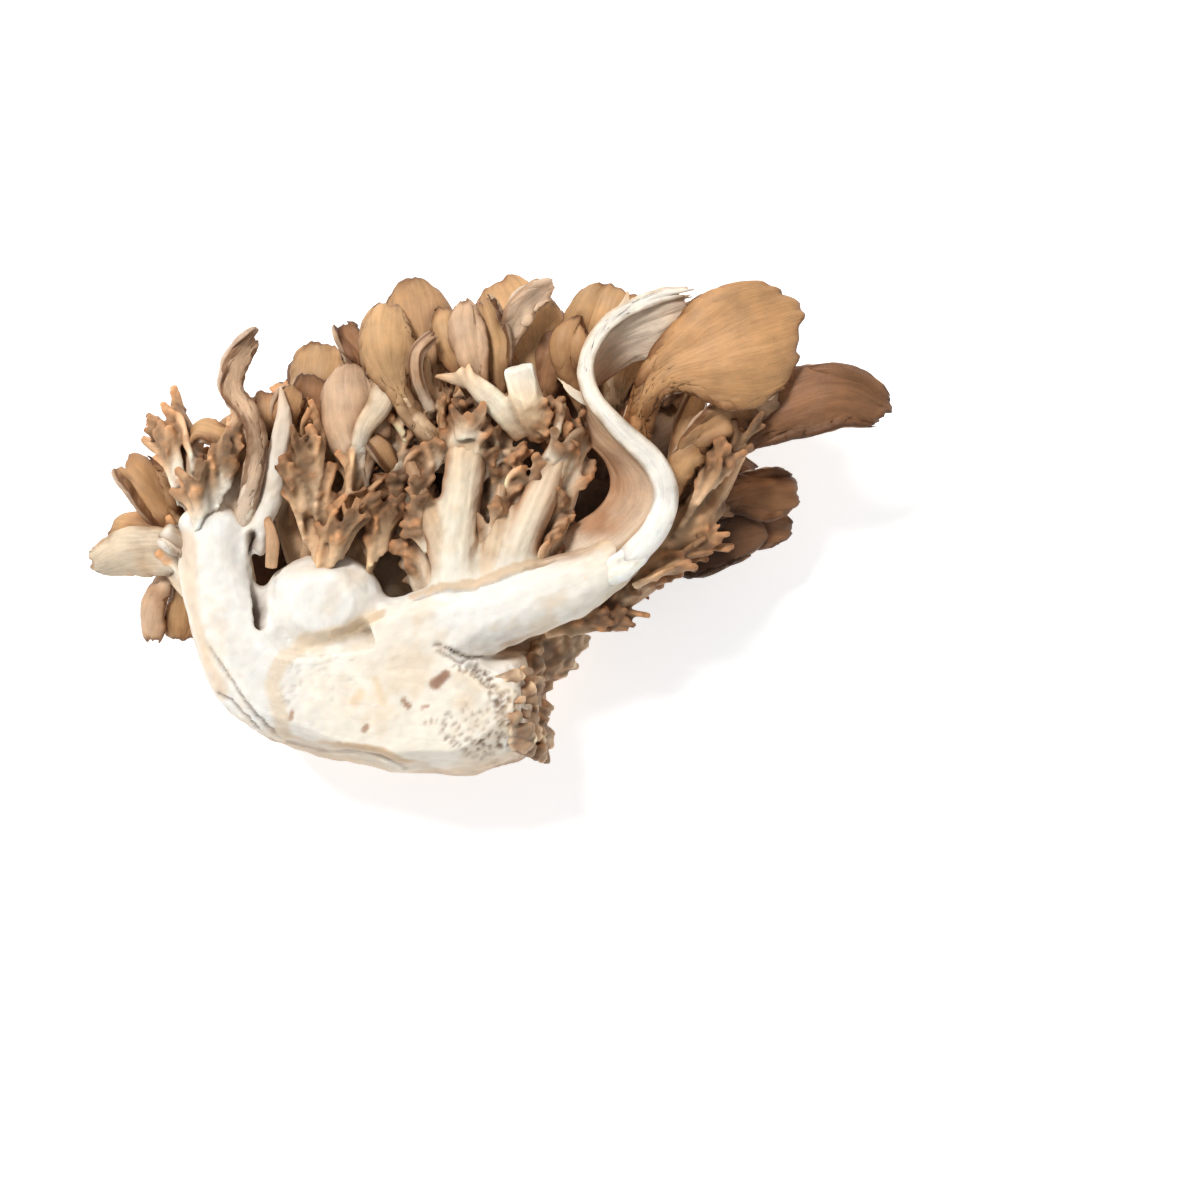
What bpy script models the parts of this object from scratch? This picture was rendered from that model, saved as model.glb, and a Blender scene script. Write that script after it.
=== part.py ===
"""Half of a maitake head, cut down through its foot and lying on its back with the cut face up.

Metres, +Z up, with the origin on the flat spot it rests on. X runs across the head and Y from the
foot (-Y) to the crown (+Y). Lengths in the tables are in millimetres. The white foot with its
branches is one body, and each spray of brown caps and lobes is another, fused from its own stems.
"""

import math
import random

import bmesh
import bpy
import numpy as np
from mathutils import Vector

MM = 0.001
CUT_HEIGHT = 53.0  # the cut face above the table
CUT_RISE = 0.12  # how much of its old height flesh above the cut keeps, which rounds its edges
GAP = 0.45  # how far each body keeps its neighbours off, less what its facets take away
FLESH_VOXEL = 1.5
FLESH_FACES = 1680
LOBE_RADIUS = 2.2
LOBE_LENGTH = 8.5
LOBE_SHAPE = (1.15, 1.25, 0.75)  # its half width at root, middle and tip, over LOBE_RADIUS
MARGIN = 1.1  # how thick a cap is at its edge
TIP_START = 0.55  # how far along a cap its corners start to round off
CURVE_STEPS = 40
GOLDEN_ANGLE = math.pi * (3 - math.sqrt(5))
GOLDEN_STEP = (math.sqrt(5) - 1) / 2
UPWARD = (0, 0, 1)

# Each body gives way to those before it.
ORDER = ["cut_base", "sickle_frond", "great_cap", "left_caps", "trunk_spray", "middle_spray", "column_frills",
         "crown_caps", "right_spray", "top_caps", "under_caps"]
COLOURS = {
    "cut_base": (0.90, 0.84, 0.74),
    "left_caps": (0.62, 0.42, 0.25),
    "trunk_spray": (0.55, 0.36, 0.22),
    "middle_spray": (0.48, 0.30, 0.18),
    "crown_caps": (0.52, 0.33, 0.19),
    "column_frills": (0.42, 0.26, 0.15),
    "sickle_frond": (0.78, 0.60, 0.45),
    "great_cap": (0.62, 0.38, 0.18),
    "right_spray": (0.42, 0.26, 0.15),
    "top_caps": (0.45, 0.27, 0.15),
    "under_caps": (0.34, 0.20, 0.11),
}

# Flesh tubes: the middle line, the radii along it, and the thickness over the width.
FLESH_TUBES = [
    ([(-40, -20, 32), (-26, -23, 29), (-6, -25, 28), (14, -27, 28), (28, -26, 30)], (14, 17, 19, 18, 13), 1.75),
    ([(-51, 14, 44), (-54, 24, 45), (-57, 32, 46), (-58, 38, 45)], (6, 4, 2.6, 1.5), 1.0),
    ([(-50, 14, 44), (-50, 25, 46), (-50.5, 33, 47), (-49, 38, 47)], (6, 3.6, 2.4, 1.5), 1.0),
    ([(-22, -24, 40), (-38, -20, 42), (-46, -8, 43), (-51, 8, 43), (-52, 22, 43)], (14, 13, 11, 9.5, 8.5), 1.0),
    ([(-43, 12, 44), (-37, 26, 48), (-35, 36, 50), (-33.5, 45, 51), (-34.5, 54, 49)], (4.5, 3.4, 3.0, 2.8, 1.1), 1.0),
    ([(-8, -14, 43), (8, -6, 44), (24, -1, 45), (40, 5, 46), (53, 12, 46)], (14, 11, 9.5, 8.5, 5.5), 1.0),
    ([(9, -4, 44), (9, 8, 46), (9.5, 18, 47), (11, 30, 48), (12, 39, 49)], (7.5, 6, 5.3, 5.2, 5.6), 1.0),
    ([(22, 0, 44), (24, 10, 46), (27, 19, 48), (31, 28, 49), (36, 39, 49)], (7, 5.5, 4.8, 4.2, 3.0), 1.0),
    ([(16, 0, 44), (18.5, 12, 47), (20, 22, 49), (20.5, 30, 49)], (4, 3, 2.6, 2.2), 1.0),
    ([(8, 4, 45), (4, 16, 48), (0, 27, 49), (-2.5, 35, 49)], (4.5, 3.6, 3.0, 2.2), 1.0),
]
# Flesh lumps: the centre and the radii.
FLESH_LUMPS = [
    ((-24, -1, 40), (15.5, 13, 15)),
    ((4, -3, 12), (38, 29, 16)),
]
BARK_STEM = [(16, -40, 44), (28, -37, 46), (34, -28, 46), (33, -18, 45), (24, -12, 46)]

STEMS = {
    "left_caps": [([(-56, 2, 38), (-59, 9, 37), (-60, 17, 35)], (4, 6, 4))],
    "trunk_spray": [
        ([(-52, 16, 42), (-54, 26, 43), (-57, 36, 40)], (6, 5, 3)),
        ([(-51, 18, 43), (-49, 28, 45), (-46, 38, 43)], (5, 4.5, 3)),
    ],
    "middle_spray": [
        ([(-24, 4, 34), (-21, 15, 37), (-17, 24, 42), (-15, 33, 44)], (9, 7, 4, 3)),
        ([(-25, 6, 36), (-25, 20, 42), (-28, 32, 45), (-31, 42, 45)], (6, 4.5, 3, 2)),
        ([(-27, 6, 32), (-33, 18, 33), (-36, 30, 31)], (6, 4, 2.5)),
        ([(-19, 8, 34), (-12, 17, 37), (-6, 26, 37)], (6, 4, 2.5)),
        ([(-24, 14, 34), (-22, 30, 32), (-23, 44, 32)], (6, 5, 3)),
    ],
    "crown_caps": [
        ([(4, 34, 36), (5, 44, 40), (2, 52, 43)], (6, 6, 4)),
        ([(5, 44, 38), (16, 47, 41), (30, 46, 38)], (6, 5, 4)),
    ],
    "column_frills": [
        ([(3, 2, 38), (-1, 12, 40), (-4, 24, 42), (-6, 37, 45)], (5, 4.2, 3.6, 2.4)),
        ([(3, 12, 41), (16, 22, 40), (30, 26, 40)], (3.6, 3.6, 3.2)),
        ([(26, 6, 39), (33, 18, 42), (38, 32, 45), (39, 41, 46)], (4.5, 3.8, 3, 2.2)),
        ([(12, 24, 40), (12, 34, 43), (12, 43, 46)], (4, 5, 5)),
        ([(19, 24, 41), (21, 33, 45), (21, 38, 47)], (3.4, 3, 2.4)),
    ],
    "right_spray": [
        ([(30, -6, 36), (44, 0, 37), (56, 8, 39), (66, 18, 39), (74, 30, 39), (79, 38, 39)], (4, 5.5, 6, 6, 5, 3.5)),
    ],
    "top_caps": [([(44, 34, 24), (46, 44, 30), (52, 52, 33), (66, 56, 32)], (7, 7, 5, 4))],
    "under_caps": [([(-34, 12, 17), (-10, 26, 16), (16, 32, 16), (42, 26, 16), (58, 14, 18)], (12, 16, 17, 16, 10))],
}

# Lobes: the stem they stand on, its radii, how many, how long and stout, and how far they lean out.
LOBES = {
    "cut_base": [(BARK_STEM, (8, 10, 10, 9, 7), 12, 0.9, 1.8, 1.0)],
    "left_caps": [([(-58, 10, 38), (-60, 17, 37)], (5, 4), 4, 0.8, 1.0, 1.0)],
    "trunk_spray": [
        ([(-54, 20, 42), (-55, 28, 43), (-58, 36, 40)], (6, 5, 3), 9, 0.95, 1.0, 0.8),
        ([(-50, 22, 43), (-49, 29, 45), (-46, 37, 43)], (5, 4, 3), 6, 0.9, 1.0, 0.8),
    ],
    "middle_spray": [
        ([(-21, 15, 38), (-17, 24, 42), (-15, 33, 44)], (6, 4, 3), 5, 1.0, 1.0, 0.7),
        ([(-25, 16, 41), (-28, 32, 45), (-31, 42, 45)], (5, 3, 2), 8, 1.1, 1.0, 0.6),
        ([(-31, 14, 33), (-33, 20, 33), (-36, 30, 31)], (4, 4, 2.5), 4, 1.1, 1.0, 0.7),
        ([(-14, 12, 37), (-12, 17, 38), (-6, 26, 38)], (5, 4, 2.5), 5, 1.1, 1.0, 0.7),
    ],
    "crown_caps": [([(4, 40, 42), (5, 46, 44), (18, 47, 45), (30, 46, 42)], (6, 6, 5, 4), 6, 0.9, 1.0, 1.1)],
    "column_frills": [
        ([(0, 8, 41), (-4, 24, 43), (-6, 37, 46)], (4.2, 3.6, 2.4), 10, 0.95, 1.0, 0.9),
        ([(12, 34, 45), (12, 42, 48)], (5, 5.5), 5, 0.8, 1.0, 0.6),
        ([(19, 14, 43), (20, 25, 46), (21, 36, 48)], (3, 3, 2.4), 4, 0.9, 1.0, 0.8),
        ([(30, 10, 42), (34, 20, 43), (39, 38, 46)], (3.8, 3.2, 2.4), 7, 0.9, 1.0, 0.8),
    ],
    "right_spray": [
        ([(50, 5, 41), (66, 18, 40), (74, 30, 40), (79, 38, 40)], (6, 6, 5, 3.5), 14, 1.35, 1.0, 0.7),
        ([(30, -6, 36), (44, 0, 37)], (4, 5.5), 5, 1.1, 1.0, 1.2),
    ],
    "top_caps": [([(46, 44, 32), (52, 52, 34)], (6, 5), 4, 1.0, 1.0, 0.9)],
}


def made_cap(path, face, width, **more):
    """A cap's measures: its middle line, which way it faces, its width and what differs from these."""
    usual = {
        "stalk": 0.4 * width, "thick": 2.6, "fan": 1.3, "flare": (0.15, 0.9), "cup": (0.4, 0.4), "curl": 1.0,
        "lobes": (0, 0.0), "wave": (0.7, 3), "phase": 0.0, "grid": (5, 4), "across": None, "widths": None,
        "round": 0.45,
    }
    return {**usual, "path": path, "face": face, "width": width, **more}


CAPS = {
    "left_caps": [
        made_cap([(-54, 5, 39), (-62, 11, 41), (-72, 12, 40), (-84.5, 8.5, 35)], (0, -0.3, 1), 13.5, stalk=8.5,
                 thick=4.2, fan=0.7, flare=(0.1, 0.6), cup=(-0.8, -0.7), wave=(0.3, 2), round=0.8),
        made_cap([(-58, 13, 37), (-67, 17, 38), (-80, 17.5, 34)], (0, 0.1, 1), 10, stalk=5, cup=(-0.5, -0.5)),
        made_cap([(-58, 9, 35), (-65, 5, 35), (-68.5, -2, 32), (-69.5, -11, 29)], (-0.5, 0, 1), 8.5, stalk=4.5,
                 fan=0.4, cup=(-0.8, -0.8), phase=0.3, grid=(4, 3)),
        made_cap([(-57, 7, 33), (-60, 3, 32), (-61.5, -3, 30), (-62, -10.5, 27)], (0.2, 0, 1), 10, stalk=6,
                 fan=0.4, cup=(-0.3, -0.6), grid=(4, 3)),
        made_cap([(-60, 14, 33), (-65, 22, 37), (-70, 30, 38), (-76, 36.5, 34)], (0.2, 0.1, 1), 14, stalk=7,
                 fan=1.0, cup=(0.9, -0.6), lobes=(2, 0.12), phase=0.2, thick=3.4),
        made_cap([(-60, 15, 30), (-61.5, 26, 31), (-63, 35, 28)], (-0.2, 0, 1), 13, stalk=7, lobes=(2, 0.12),
                 cup=(0.5, 0.7), phase=0.5, grid=(4, 3)),
        made_cap([(-57, 11, 43), (-60.5, 14.5, 47), (-65, 17, 46.5)], (0.3, 0.2, 1), 8.5, stalk=4.5, cup=(1.2, 1.2),
                 grid=(4, 3)),
    ],
    "trunk_spray": [
        made_cap([(-46, 15, 44), (-42.5, 25, 50), (-40.5, 33, 52.5), (-39.8, 39.5, 54), (-42, 46.5, 53.5),
                  (-46.3, 52, 51.5), (-46.2, 58, 50), (-43, 64, 49), (-40, 67.5, 46)],
                 [(-0.3, 0, 1), (0.3, 0.2, 1), (0.9, -0.2, 0.8)], 10, stalk=5, fan=0.8,
                 flare=(0.55, 0.9), cup=(0.8, 1.0), grid=(11, 4), wave=(0.3, 2), round=0.7),
        made_cap([(-44, 32, 45), (-48, 39, 49), (-54, 42, 48.5), (-57.5, 40, 45)], (0, 0.5, 1), 8, stalk=5,
                 cup=(1.1, 0.2), phase=0.4, grid=(6, 3)),
        made_cap([(-45, 36, 42), (-39, 44, 43), (-39.5, 53, 42)], (0, 0, 1), 10, stalk=4, cup=(0.5, 0.4), grid=(4, 3)),
        made_cap([(-44, 34, 42), (-34, 42, 42), (-28, 50, 43), (-28, 57.5, 41)], (0.1, 0, 1), 13, stalk=4.5,
                 cup=(0.6, -0.4), phase=0.7),
    ],
    "middle_spray": [
        made_cap([(-23, 32, 34), (-24.5, 46, 38), (-26, 57, 39), (-25.5, 66, 34)], (-0.1, 0, 1), 17, stalk=5,
                 cup=(-0.4, -0.4), phase=0.1),
        made_cap([(-15, 28, 44), (-15.5, 40, 49), (-17, 51, 50), (-17.5, 60, 45)], (0, -0.1, 1), 18, stalk=5,
                 cup=(-0.5, -0.7), curl=0.7, flare=(0.05, 0.6), phase=0.3, grid=(7, 5), round=0.7),
        made_cap([(-15.5, 32, 46), (-14, 42, 50.5), (-9.5, 49, 52.5), (-7.8, 55.5, 52), (-11.5, 59.5, 49)],
                 (0.3, 0, 1), 6.5, stalk=4.5, fan=0.6, cup=(-1.0, -1.0), thick=3.6, phase=0.6, grid=(7, 4), round=0.7),
        made_cap([(-31, 38, 45), (-33, 46, 48), (-31, 54, 46)], (0.3, 0, 1), 9, stalk=4, cup=(-0.7, 0.5), grid=(4, 3)),
        made_cap([(-34, 7, 35), (-36.5, 14, 39), (-38, 21, 40)], (0.2, 0, 1), 4.5, stalk=3, cup=(-0.5, -0.5),
                 grid=(4, 3)),
    ],
    "crown_caps": [
        made_cap([(6, 37, 46), (-1.5, 46, 52), (-6.5, 57, 54.5), (-8, 66, 54), (-7.5, 75, 48)], (0, -0.1, 1), 17,
                 stalk=5, cup=(-0.8, -0.9), flare=(0.35, 0.8), phase=0.2, grid=(7, 5), round=0.75),
        made_cap([(4, 46, 44), (2, 60, 46), (-1, 73, 45), (-3, 81, 40)], (0, 0, 1), 20, stalk=6, cup=(-0.5, -0.6),
                 phase=0.5),
        made_cap([(2, 48, 42), (-9, 54, 42), (-15, 62, 43), (-21, 70, 41)], (0.3, 0.2, 1), 8, stalk=4,
                 cup=(0.8, 0.4), phase=0.8, grid=(6, 3)),
        made_cap([(3, 47, 50), (0, 54, 55), (0, 61, 56.5), (4.5, 66, 55)], (-0.3, 0, 1), 3.8, stalk=3, fan=0.5,
                 cup=(0.6, 0.5), grid=(6, 3)),
        made_cap([(17, 44, 44), (11.5, 56, 49.5), (7, 66, 50.5), (5.5, 74, 46)], (0, -0.1, 1), 9.5, stalk=4,
                 cup=(-0.8, -0.6), phase=0.1, round=0.8),
        made_cap([(17, 43, 46), (14.5, 56, 52), (12, 66, 53), (11.5, 75.5, 49)], (0, -0.1, 1), 11, stalk=4,
                 cup=(-0.8, -0.8), phase=0.4, round=0.8),
        made_cap([(18, 44, 43), (19.5, 56, 48), (19, 66, 49), (16, 76, 46)], (-0.4, 0, 1), 10, stalk=4.5,
                 cup=(-0.3, 0.8), phase=0.9, round=0.7),
        made_cap([(29, 44, 37), (27.5, 60, 40), (23, 72, 42), (19, 81.5, 38)], (0, 0.1, 1), 25, stalk=6,
                 cup=(-0.3, -0.5), phase=0.3, wave=(0.4, 2)),
        made_cap([(20, 50, 44), (21, 63, 48), (26, 73, 50), (34, 79, 47)], (0.5, -0.4, 1), 9, stalk=4.5,
                 cup=(0.3, 0.5), phase=0.6),
        made_cap([(30, 42, 37), (31, 55, 40), (33, 66, 40.5), (34, 75, 36)], (0.1, 0, 1), 13, stalk=5,
                 cup=(-0.6, -0.4), phase=0.7),
        made_cap([(30, 41, 45), (27, 48, 52), (24.5, 57, 53.5)], (0, 0, 1), 7, stalk=7, fan=0.2, thick=6,
                 cup=(-0.2, -0.2), wave=(0.1, 1), grid=(4, 3)),
        made_cap([(25, 42, 47), (18, 49, 52), (10.5, 57, 52.5)], (0, 0, 1), 6, stalk=5.5, fan=0.4, thick=3.4,
                 cup=(-0.5, -0.5), wave=(0.2, 2), grid=(4, 3)),
    ],
    "column_frills": [
        made_cap([(12, 38, 44), (9, 44, 49), (8, 49, 50)], (0, -0.3, 1), 8, stalk=5, cup=(0.8, 0.8), grid=(4, 3)),
        made_cap([(13, 38, 44), (16, 44, 49), (19, 48, 49)], (0, -0.3, 1), 8, stalk=5, cup=(0.8, 0.7),
                 phase=0.5, grid=(4, 3)),
        made_cap([(-5, 30, 44), (-9, 37, 49), (-13, 41, 49)], (0.3, 0, 1), 6, stalk=4, cup=(0.7, 0.5), grid=(4, 3)),
        made_cap([(-3, 20, 42), (-8, 28, 47), (-12, 31, 47)], (0.3, 0, 1), 6, stalk=4, cup=(0.6, 0.7),
                 phase=0.4, grid=(4, 3)),
    ],
    "sickle_frond": [
        made_cap([(47, 7, 50), (57, 16, 54.5), (62, 25, 56), (58, 34, 56.5), (48, 42, 57), (41.5, 51, 57),
                  (41.5, 60, 57), (47.5, 68, 57), (58, 73.5, 57), (70.5, 76, 54)], UPWARD, 27, thick=4.2,
                 across=[(-0.75, 0.35, -0.5), (-0.85, 0.1, -0.55), (-0.8, 0, -0.6), (-0.75, -0.2, -0.65),
                         (-0.1, -0.2, -1), (0.6, -0.4, -0.7), (0.4, -0.85, -0.35), (0.25, -0.95, -0.15)],
                 widths=(26, 24, 18, 12, 11, 13, 15, 13), fan=0.7, cup=(0, 0.3), wave=(0.4, 1), grid=(16, 3)),
        made_cap([(52, 10, 52.5), (58.5, 17.5, 56), (61, 26, 57.5), (58, 34, 58), (49.5, 42.5, 58.5), (42.8, 51, 58.5),
                  (42, 59.5, 58.5), (47, 68, 58.5), (57, 74, 58), (69, 76.5, 55)], UPWARD, 4.2, stalk=6.5,
                 thick=3.4, fan=0.2, flare=(0.2, 0.6), cup=(-0.1, -0.1), wave=(0.2, 2), grid=(15, 2)),
    ],
    "great_cap": [
        made_cap([(53, 15, 39), (55.5, 27, 43), (54, 40, 49), (56.5, 50, 54), (62, 56.5, 57), (73, 61, 59),
                  (85, 65.5, 58), (97, 69.5, 53)], [(0.3, 0, 1), (-0.2, 0.1, 1), (0, -0.1, 1)], 35, stalk=7,
                 thick=3.4, fan=1.2, flare=(0.42, 0.9), cup=(-0.3, -0.35), wave=(0.6, 2), grid=(10, 6), round=0.35),
    ],
    "right_spray": [
        made_cap([(70, 32, 38), (80, 41, 45), (93, 48, 50), (106, 51, 50), (118, 46.5, 44)], (0, -0.1, 1), 18,
                 stalk=6, fan=0.9, cup=(-0.4, 0.3), flare=(0.1, 0.65), grid=(7, 5), round=0.7),
        made_cap([(66, 30, 44), (73, 41, 49), (82, 47, 51), (92, 51, 50)], (0.1, -0.3, 1), 8, stalk=4,
                 cup=(0.5, 0.4), phase=0.3),
        made_cap([(64, 28, 43), (68, 39, 50), (76, 45.5, 52), (85, 44, 49)], (0.1, -0.5, 1), 10, stalk=5,
                 cup=(0.4, 1.0), phase=0.6),
        made_cap([(62, 28, 40), (66, 42, 44), (70.5, 54, 43)], (0, 0, 1), 6.5, stalk=4, cup=(0.5, 0.5), grid=(4, 3)),
        made_cap([(61, 22, 41), (64, 31, 48), (68.5, 36.5, 50), (74, 37, 47)], (0, -0.2, 1), 8, stalk=5,
                 cup=(-0.6, -0.6), phase=0.8),
        made_cap([(68, 20, 34), (80, 26, 31), (97, 28, 28)], (0, 0, 1), 15, stalk=6, cup=(-0.3, -0.4), phase=0.2),
        made_cap([(64, 14, 32), (80, 19, 27), (95, 18, 22)], (0, -0.1, 1), 14, stalk=6, cup=(-0.4, -0.4), phase=0.5),
    ],
    "top_caps": [
        made_cap([(47, 44, 34), (47, 60, 43), (49, 71, 48), (52, 79, 47)], (0, -0.2, 1), 30, stalk=7, fan=0.9,
                 cup=(-0.5, -0.5), phase=0.2, grid=(7, 5), flare=(0.1, 0.75), round=0.5),
        made_cap([(45, 43, 36), (40, 54, 45), (37.5, 63, 50), (40, 71.5, 49)], (-0.2, 0, 1), 11, stalk=6,
                 cup=(-0.9, -0.8), lobes=(2, 0.08), phase=0.5, thick=3.6, round=0.7),
        made_cap([(60, 50, 32), (69, 64, 38), (76, 77, 37)], (0, 0, 1), 18, stalk=6, cup=(0.4, 0.5), phase=0.7),
        made_cap([(50, 46, 32), (52, 58, 38), (54, 69, 39)], (0.2, 0, 1), 17, stalk=8, cup=(0.5, 0.3), phase=0.9),
        made_cap([(64, 50, 31), (78, 60, 36), (92, 62, 33)], (0, 0, 1), 18, stalk=6, cup=(0.3, 0.4), phase=0.4),
    ],
}

# The caps of the rounded back stand in rings: how many, the ellipse of their tips, and the heights of
# their roots, middles and tips.
BACK_CENTRE = (12, 18)
BACK_ROOTS = (38, 20)
BACK_ARC = (184, 10)  # degrees about BACK_CENTRE, from the left side over the crown to the right
BACK_RINGS = [
    {"count": 7, "reach": (82, 57), "heights": (20, 28, 21), "width": 38},
    {"count": 6, "reach": (68, 45), "heights": (14, 15, 7), "width": 36},
]
SEED = 7


def unit(v):
    v = np.asarray(v, float)
    return v / np.maximum(np.linalg.norm(v, axis=-1, keepdims=True), 1e-12)


def ease(x):
    x = np.clip(x, 0, 1)
    return x * x * (3 - 2 * x)


def curve_through(points, steps):
    """Points spaced evenly on a smooth curve through the given ones, and its length."""
    p = np.array(points, float)
    p = np.vstack([2 * p[0] - p[1], p, 2 * p[-1] - p[-2]])
    t = np.linspace(0, 1, 16, endpoint=False)[:, None]
    pieces = [
        0.5 * (2 * b + (c - a) * t + (2 * a - 5 * b + 4 * c - d) * t**2 + (3 * b - a - 3 * c + d) * t**3)
        for a, b, c, d in zip(p, p[1:], p[2:], p[3:])
    ]
    fine = np.vstack([*pieces, p[-2:-1]])
    run = np.concatenate([[0], np.cumsum(np.linalg.norm(np.diff(fine, axis=0), axis=1))])
    want = np.linspace(0, run[-1], steps + 1)
    return np.stack([np.interp(want, run, fine[:, k]) for k in range(3)], axis=1), run[-1]


def spread(vectors, steps):
    """One vector, or several from start to end, interpolated at each step."""
    given = np.array(vectors, float).reshape(-1, 3)
    at = np.linspace(0, 1, steps + 1)
    return np.stack([np.interp(at, np.linspace(0, 1, len(given)), given[:, k]) for k in range(3)], axis=1)


def frames_along(points, faces, steps):
    """A curve with its directions, sides and upward normals at each step, and its length."""
    line, length = curve_through(points, steps)
    ahead = unit(np.gradient(line, axis=0))
    side = unit(np.cross(ahead, spread(faces, steps)))
    return line, ahead, side, np.cross(side, ahead), length


def longer(points, extra):
    """The points with the first and last moved outwards along the line."""
    p = np.array(points, float)
    p[0] += extra * unit(p[0] - p[1])
    p[-1] += extra * unit(p[-1] - p[-2])
    return p


def mesh_object(name, verts, faces):
    mesh = bpy.data.meshes.new(name)
    mesh.from_pydata((np.asarray(verts) * MM).tolist(), [], faces)
    obj = bpy.data.objects.new(name, mesh)
    bpy.context.scene.collection.objects.link(obj)
    return obj


def cap_surface(spec, nu, nv, extra):
    """The middle surface of a cap, with the place along (u) and across (v) it and how far it has flared."""
    path = longer(spec["path"], extra)
    line, ahead, side, up, length = frames_along(path, spec["face"], CURVE_STEPS)
    if spec["across"]:
        side = unit(spread(spec["across"], CURVE_STEPS))
        up = unit(np.cross(side, ahead))
    u = np.linspace(0, 1, nu + 1)[:, None] ** 0.85
    v = np.linspace(0 if spec["widths"] else -1, 1, nv + 1)[None, :]
    count, depth = spec["lobes"]
    phase = spec["phase"]
    valley = 1 - np.abs(np.sin(math.pi * (count * v / 2 + phase))) ** 0.6
    along = u * (1 - depth * valley)
    start, full = spec["flare"]
    grow = ease((along - start) / (full - start))
    stalk, width = spec["stalk"] / 2 + extra, spec["width"] / 2 + extra
    half = stalk + (width - stalk) * grow
    if spec["widths"]:
        half = np.interp(along, np.linspace(0, 1, len(spec["widths"])), spec["widths"]) + extra
    half = half * (1 + 0.06 * np.sin(9 * along + 5 * phase) * np.sign(v))
    tip = np.clip((along - TIP_START) / (1 - TIP_START), 0, 1)
    half = half * (1 - spec["round"] * (1 - np.sqrt(1 - tip**2)))
    fan = 0.2 + (spec["fan"] - 0.2) * grow
    across = half * np.sin(v * fan) / np.sin(fan)
    down = half * (1 - np.cos(v * fan)) / np.sin(fan)
    step = np.clip(along - down / length, 0, 1) * CURVE_STEPS
    left, right = spec["cup"]
    bend = np.where(v < 0, -left, right) * np.abs(v) ** spec["curl"] * (0.35 + 0.65 * grow)
    middle = (bend[:, 1:] + bend[:, :-1]) / 2
    run = np.diff(across, axis=1)
    x = np.pad(np.cumsum(run * np.cos(middle), axis=1), ((0, 0), (1, 0)))
    z = np.pad(np.cumsum(run * np.sin(middle), axis=1), ((0, 0), (1, 0)))
    centre = np.argmin(np.abs(v[0]))
    x = x - x[:, centre, None] + across[:, centre, None]
    z = z - z[:, centre, None]
    amount, ruffles = spec["wave"]
    z = z + amount * along**1.5 * np.sin(math.pi * ruffles * v + 6 * phase) * (0.3 + 0.7 * np.abs(v))
    z = z + 0.6 * amount * np.abs(v) ** 3 * along * np.sin(8 * along + 9 * phase)

    def at(table):
        low = np.clip(step.astype(int), 0, CURVE_STEPS - 1)
        part = (step - low)[..., None]
        return table[low] * (1 - part) + table[low + 1] * part

    return at(line) + at(side) * x[..., None] + at(up) * z[..., None], u, v, grow


def cap(name, spec, extra):
    """A closed cap: a stalk that flares into a curved blade with a thin margin."""
    nu, nv = spec["grid"]
    mid, u, v, grow = cap_surface(spec, nu, nv, extra)
    normal = unit(np.cross(np.gradient(mid, axis=1), np.gradient(mid, axis=0)))
    body = np.sqrt(np.clip(1 - np.abs(v) ** (2 + 6 * grow), 0, 1)) * np.sqrt(1 - u**8)
    root = spec["thick"] if spec["widths"] else spec["stalk"] * 0.7
    full = root + (spec["thick"] - root) * ease(u / 0.6)
    thickness = MARGIN + np.maximum(full - MARGIN, 0) * body + 2 * extra
    top = mid + normal * thickness[..., None] / 2
    under = mid - normal * thickness[..., None] / 2
    n = (nu + 1) * (nv + 1)
    index = np.arange(n).reshape(nu + 1, nv + 1)
    faces = []
    for i in range(nu):
        for j in range(nv):
            a, b, c, d = (int(k) for k in (index[i, j], index[i + 1, j], index[i + 1, j + 1], index[i, j + 1]))
            halves = [(a, d, c), (a, c, b)] if (i + j) % 2 else [(a, d, b), (b, d, c)]
            faces += halves
            faces += [tuple(n + k for k in reversed(half)) for half in halves]
    border = [*index[:, 0], *index[-1, 1:], *index[-2::-1, -1], *index[0, -2:0:-1]]
    for a, b in zip(border, border[1:] + border[:1]):
        faces.append((int(a), int(b), int(n + b), int(n + a)))
    return mesh_object(name, np.vstack([top.reshape(-1, 3), under.reshape(-1, 3)]), faces)


def tube(name, points, radii, face=UPWARD, flat=1.0, sides=6, steps=5, extra=0.0):
    """A closed stem along a curve. flat is its thickness over its width."""
    line, _, side, up, _ = frames_along(longer(points, extra), face, steps)
    r = np.interp(np.linspace(0, 1, steps + 1), np.linspace(0, 1, len(radii)), radii)[:, None]
    turn = np.arange(sides) * 2 * math.pi / sides
    ring = line[:, None, :] + side[:, None, :] * ((r + extra) * np.cos(turn))[..., None]
    ring = ring + up[:, None, :] * ((r * flat + extra) * np.sin(turn))[..., None]
    faces = [tuple(range(sides)), tuple(steps * sides + k for k in reversed(range(sides)))]
    for i in range(steps):
        for k in range(sides):
            m = (k + 1) % sides
            faces.append((i * sides + k, (i + 1) * sides + k, (i + 1) * sides + m, i * sides + m))
    return mesh_object(name, ring.reshape(-1, 3), faces)


def lump(name, centre, radii, subdivisions=3):
    mesh = bpy.data.meshes.new(name)
    bm = bmesh.new()
    bmesh.ops.create_icosphere(bm, subdivisions=subdivisions, radius=1.0)
    for vert in bm.verts:
        vert.co = Vector(c + k * r for c, k, r in zip(centre, vert.co, radii)) * MM
    bm.to_mesh(mesh)
    bm.free()
    obj = bpy.data.objects.new(name, mesh)
    bpy.context.scene.collection.objects.link(obj)
    return obj


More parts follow.
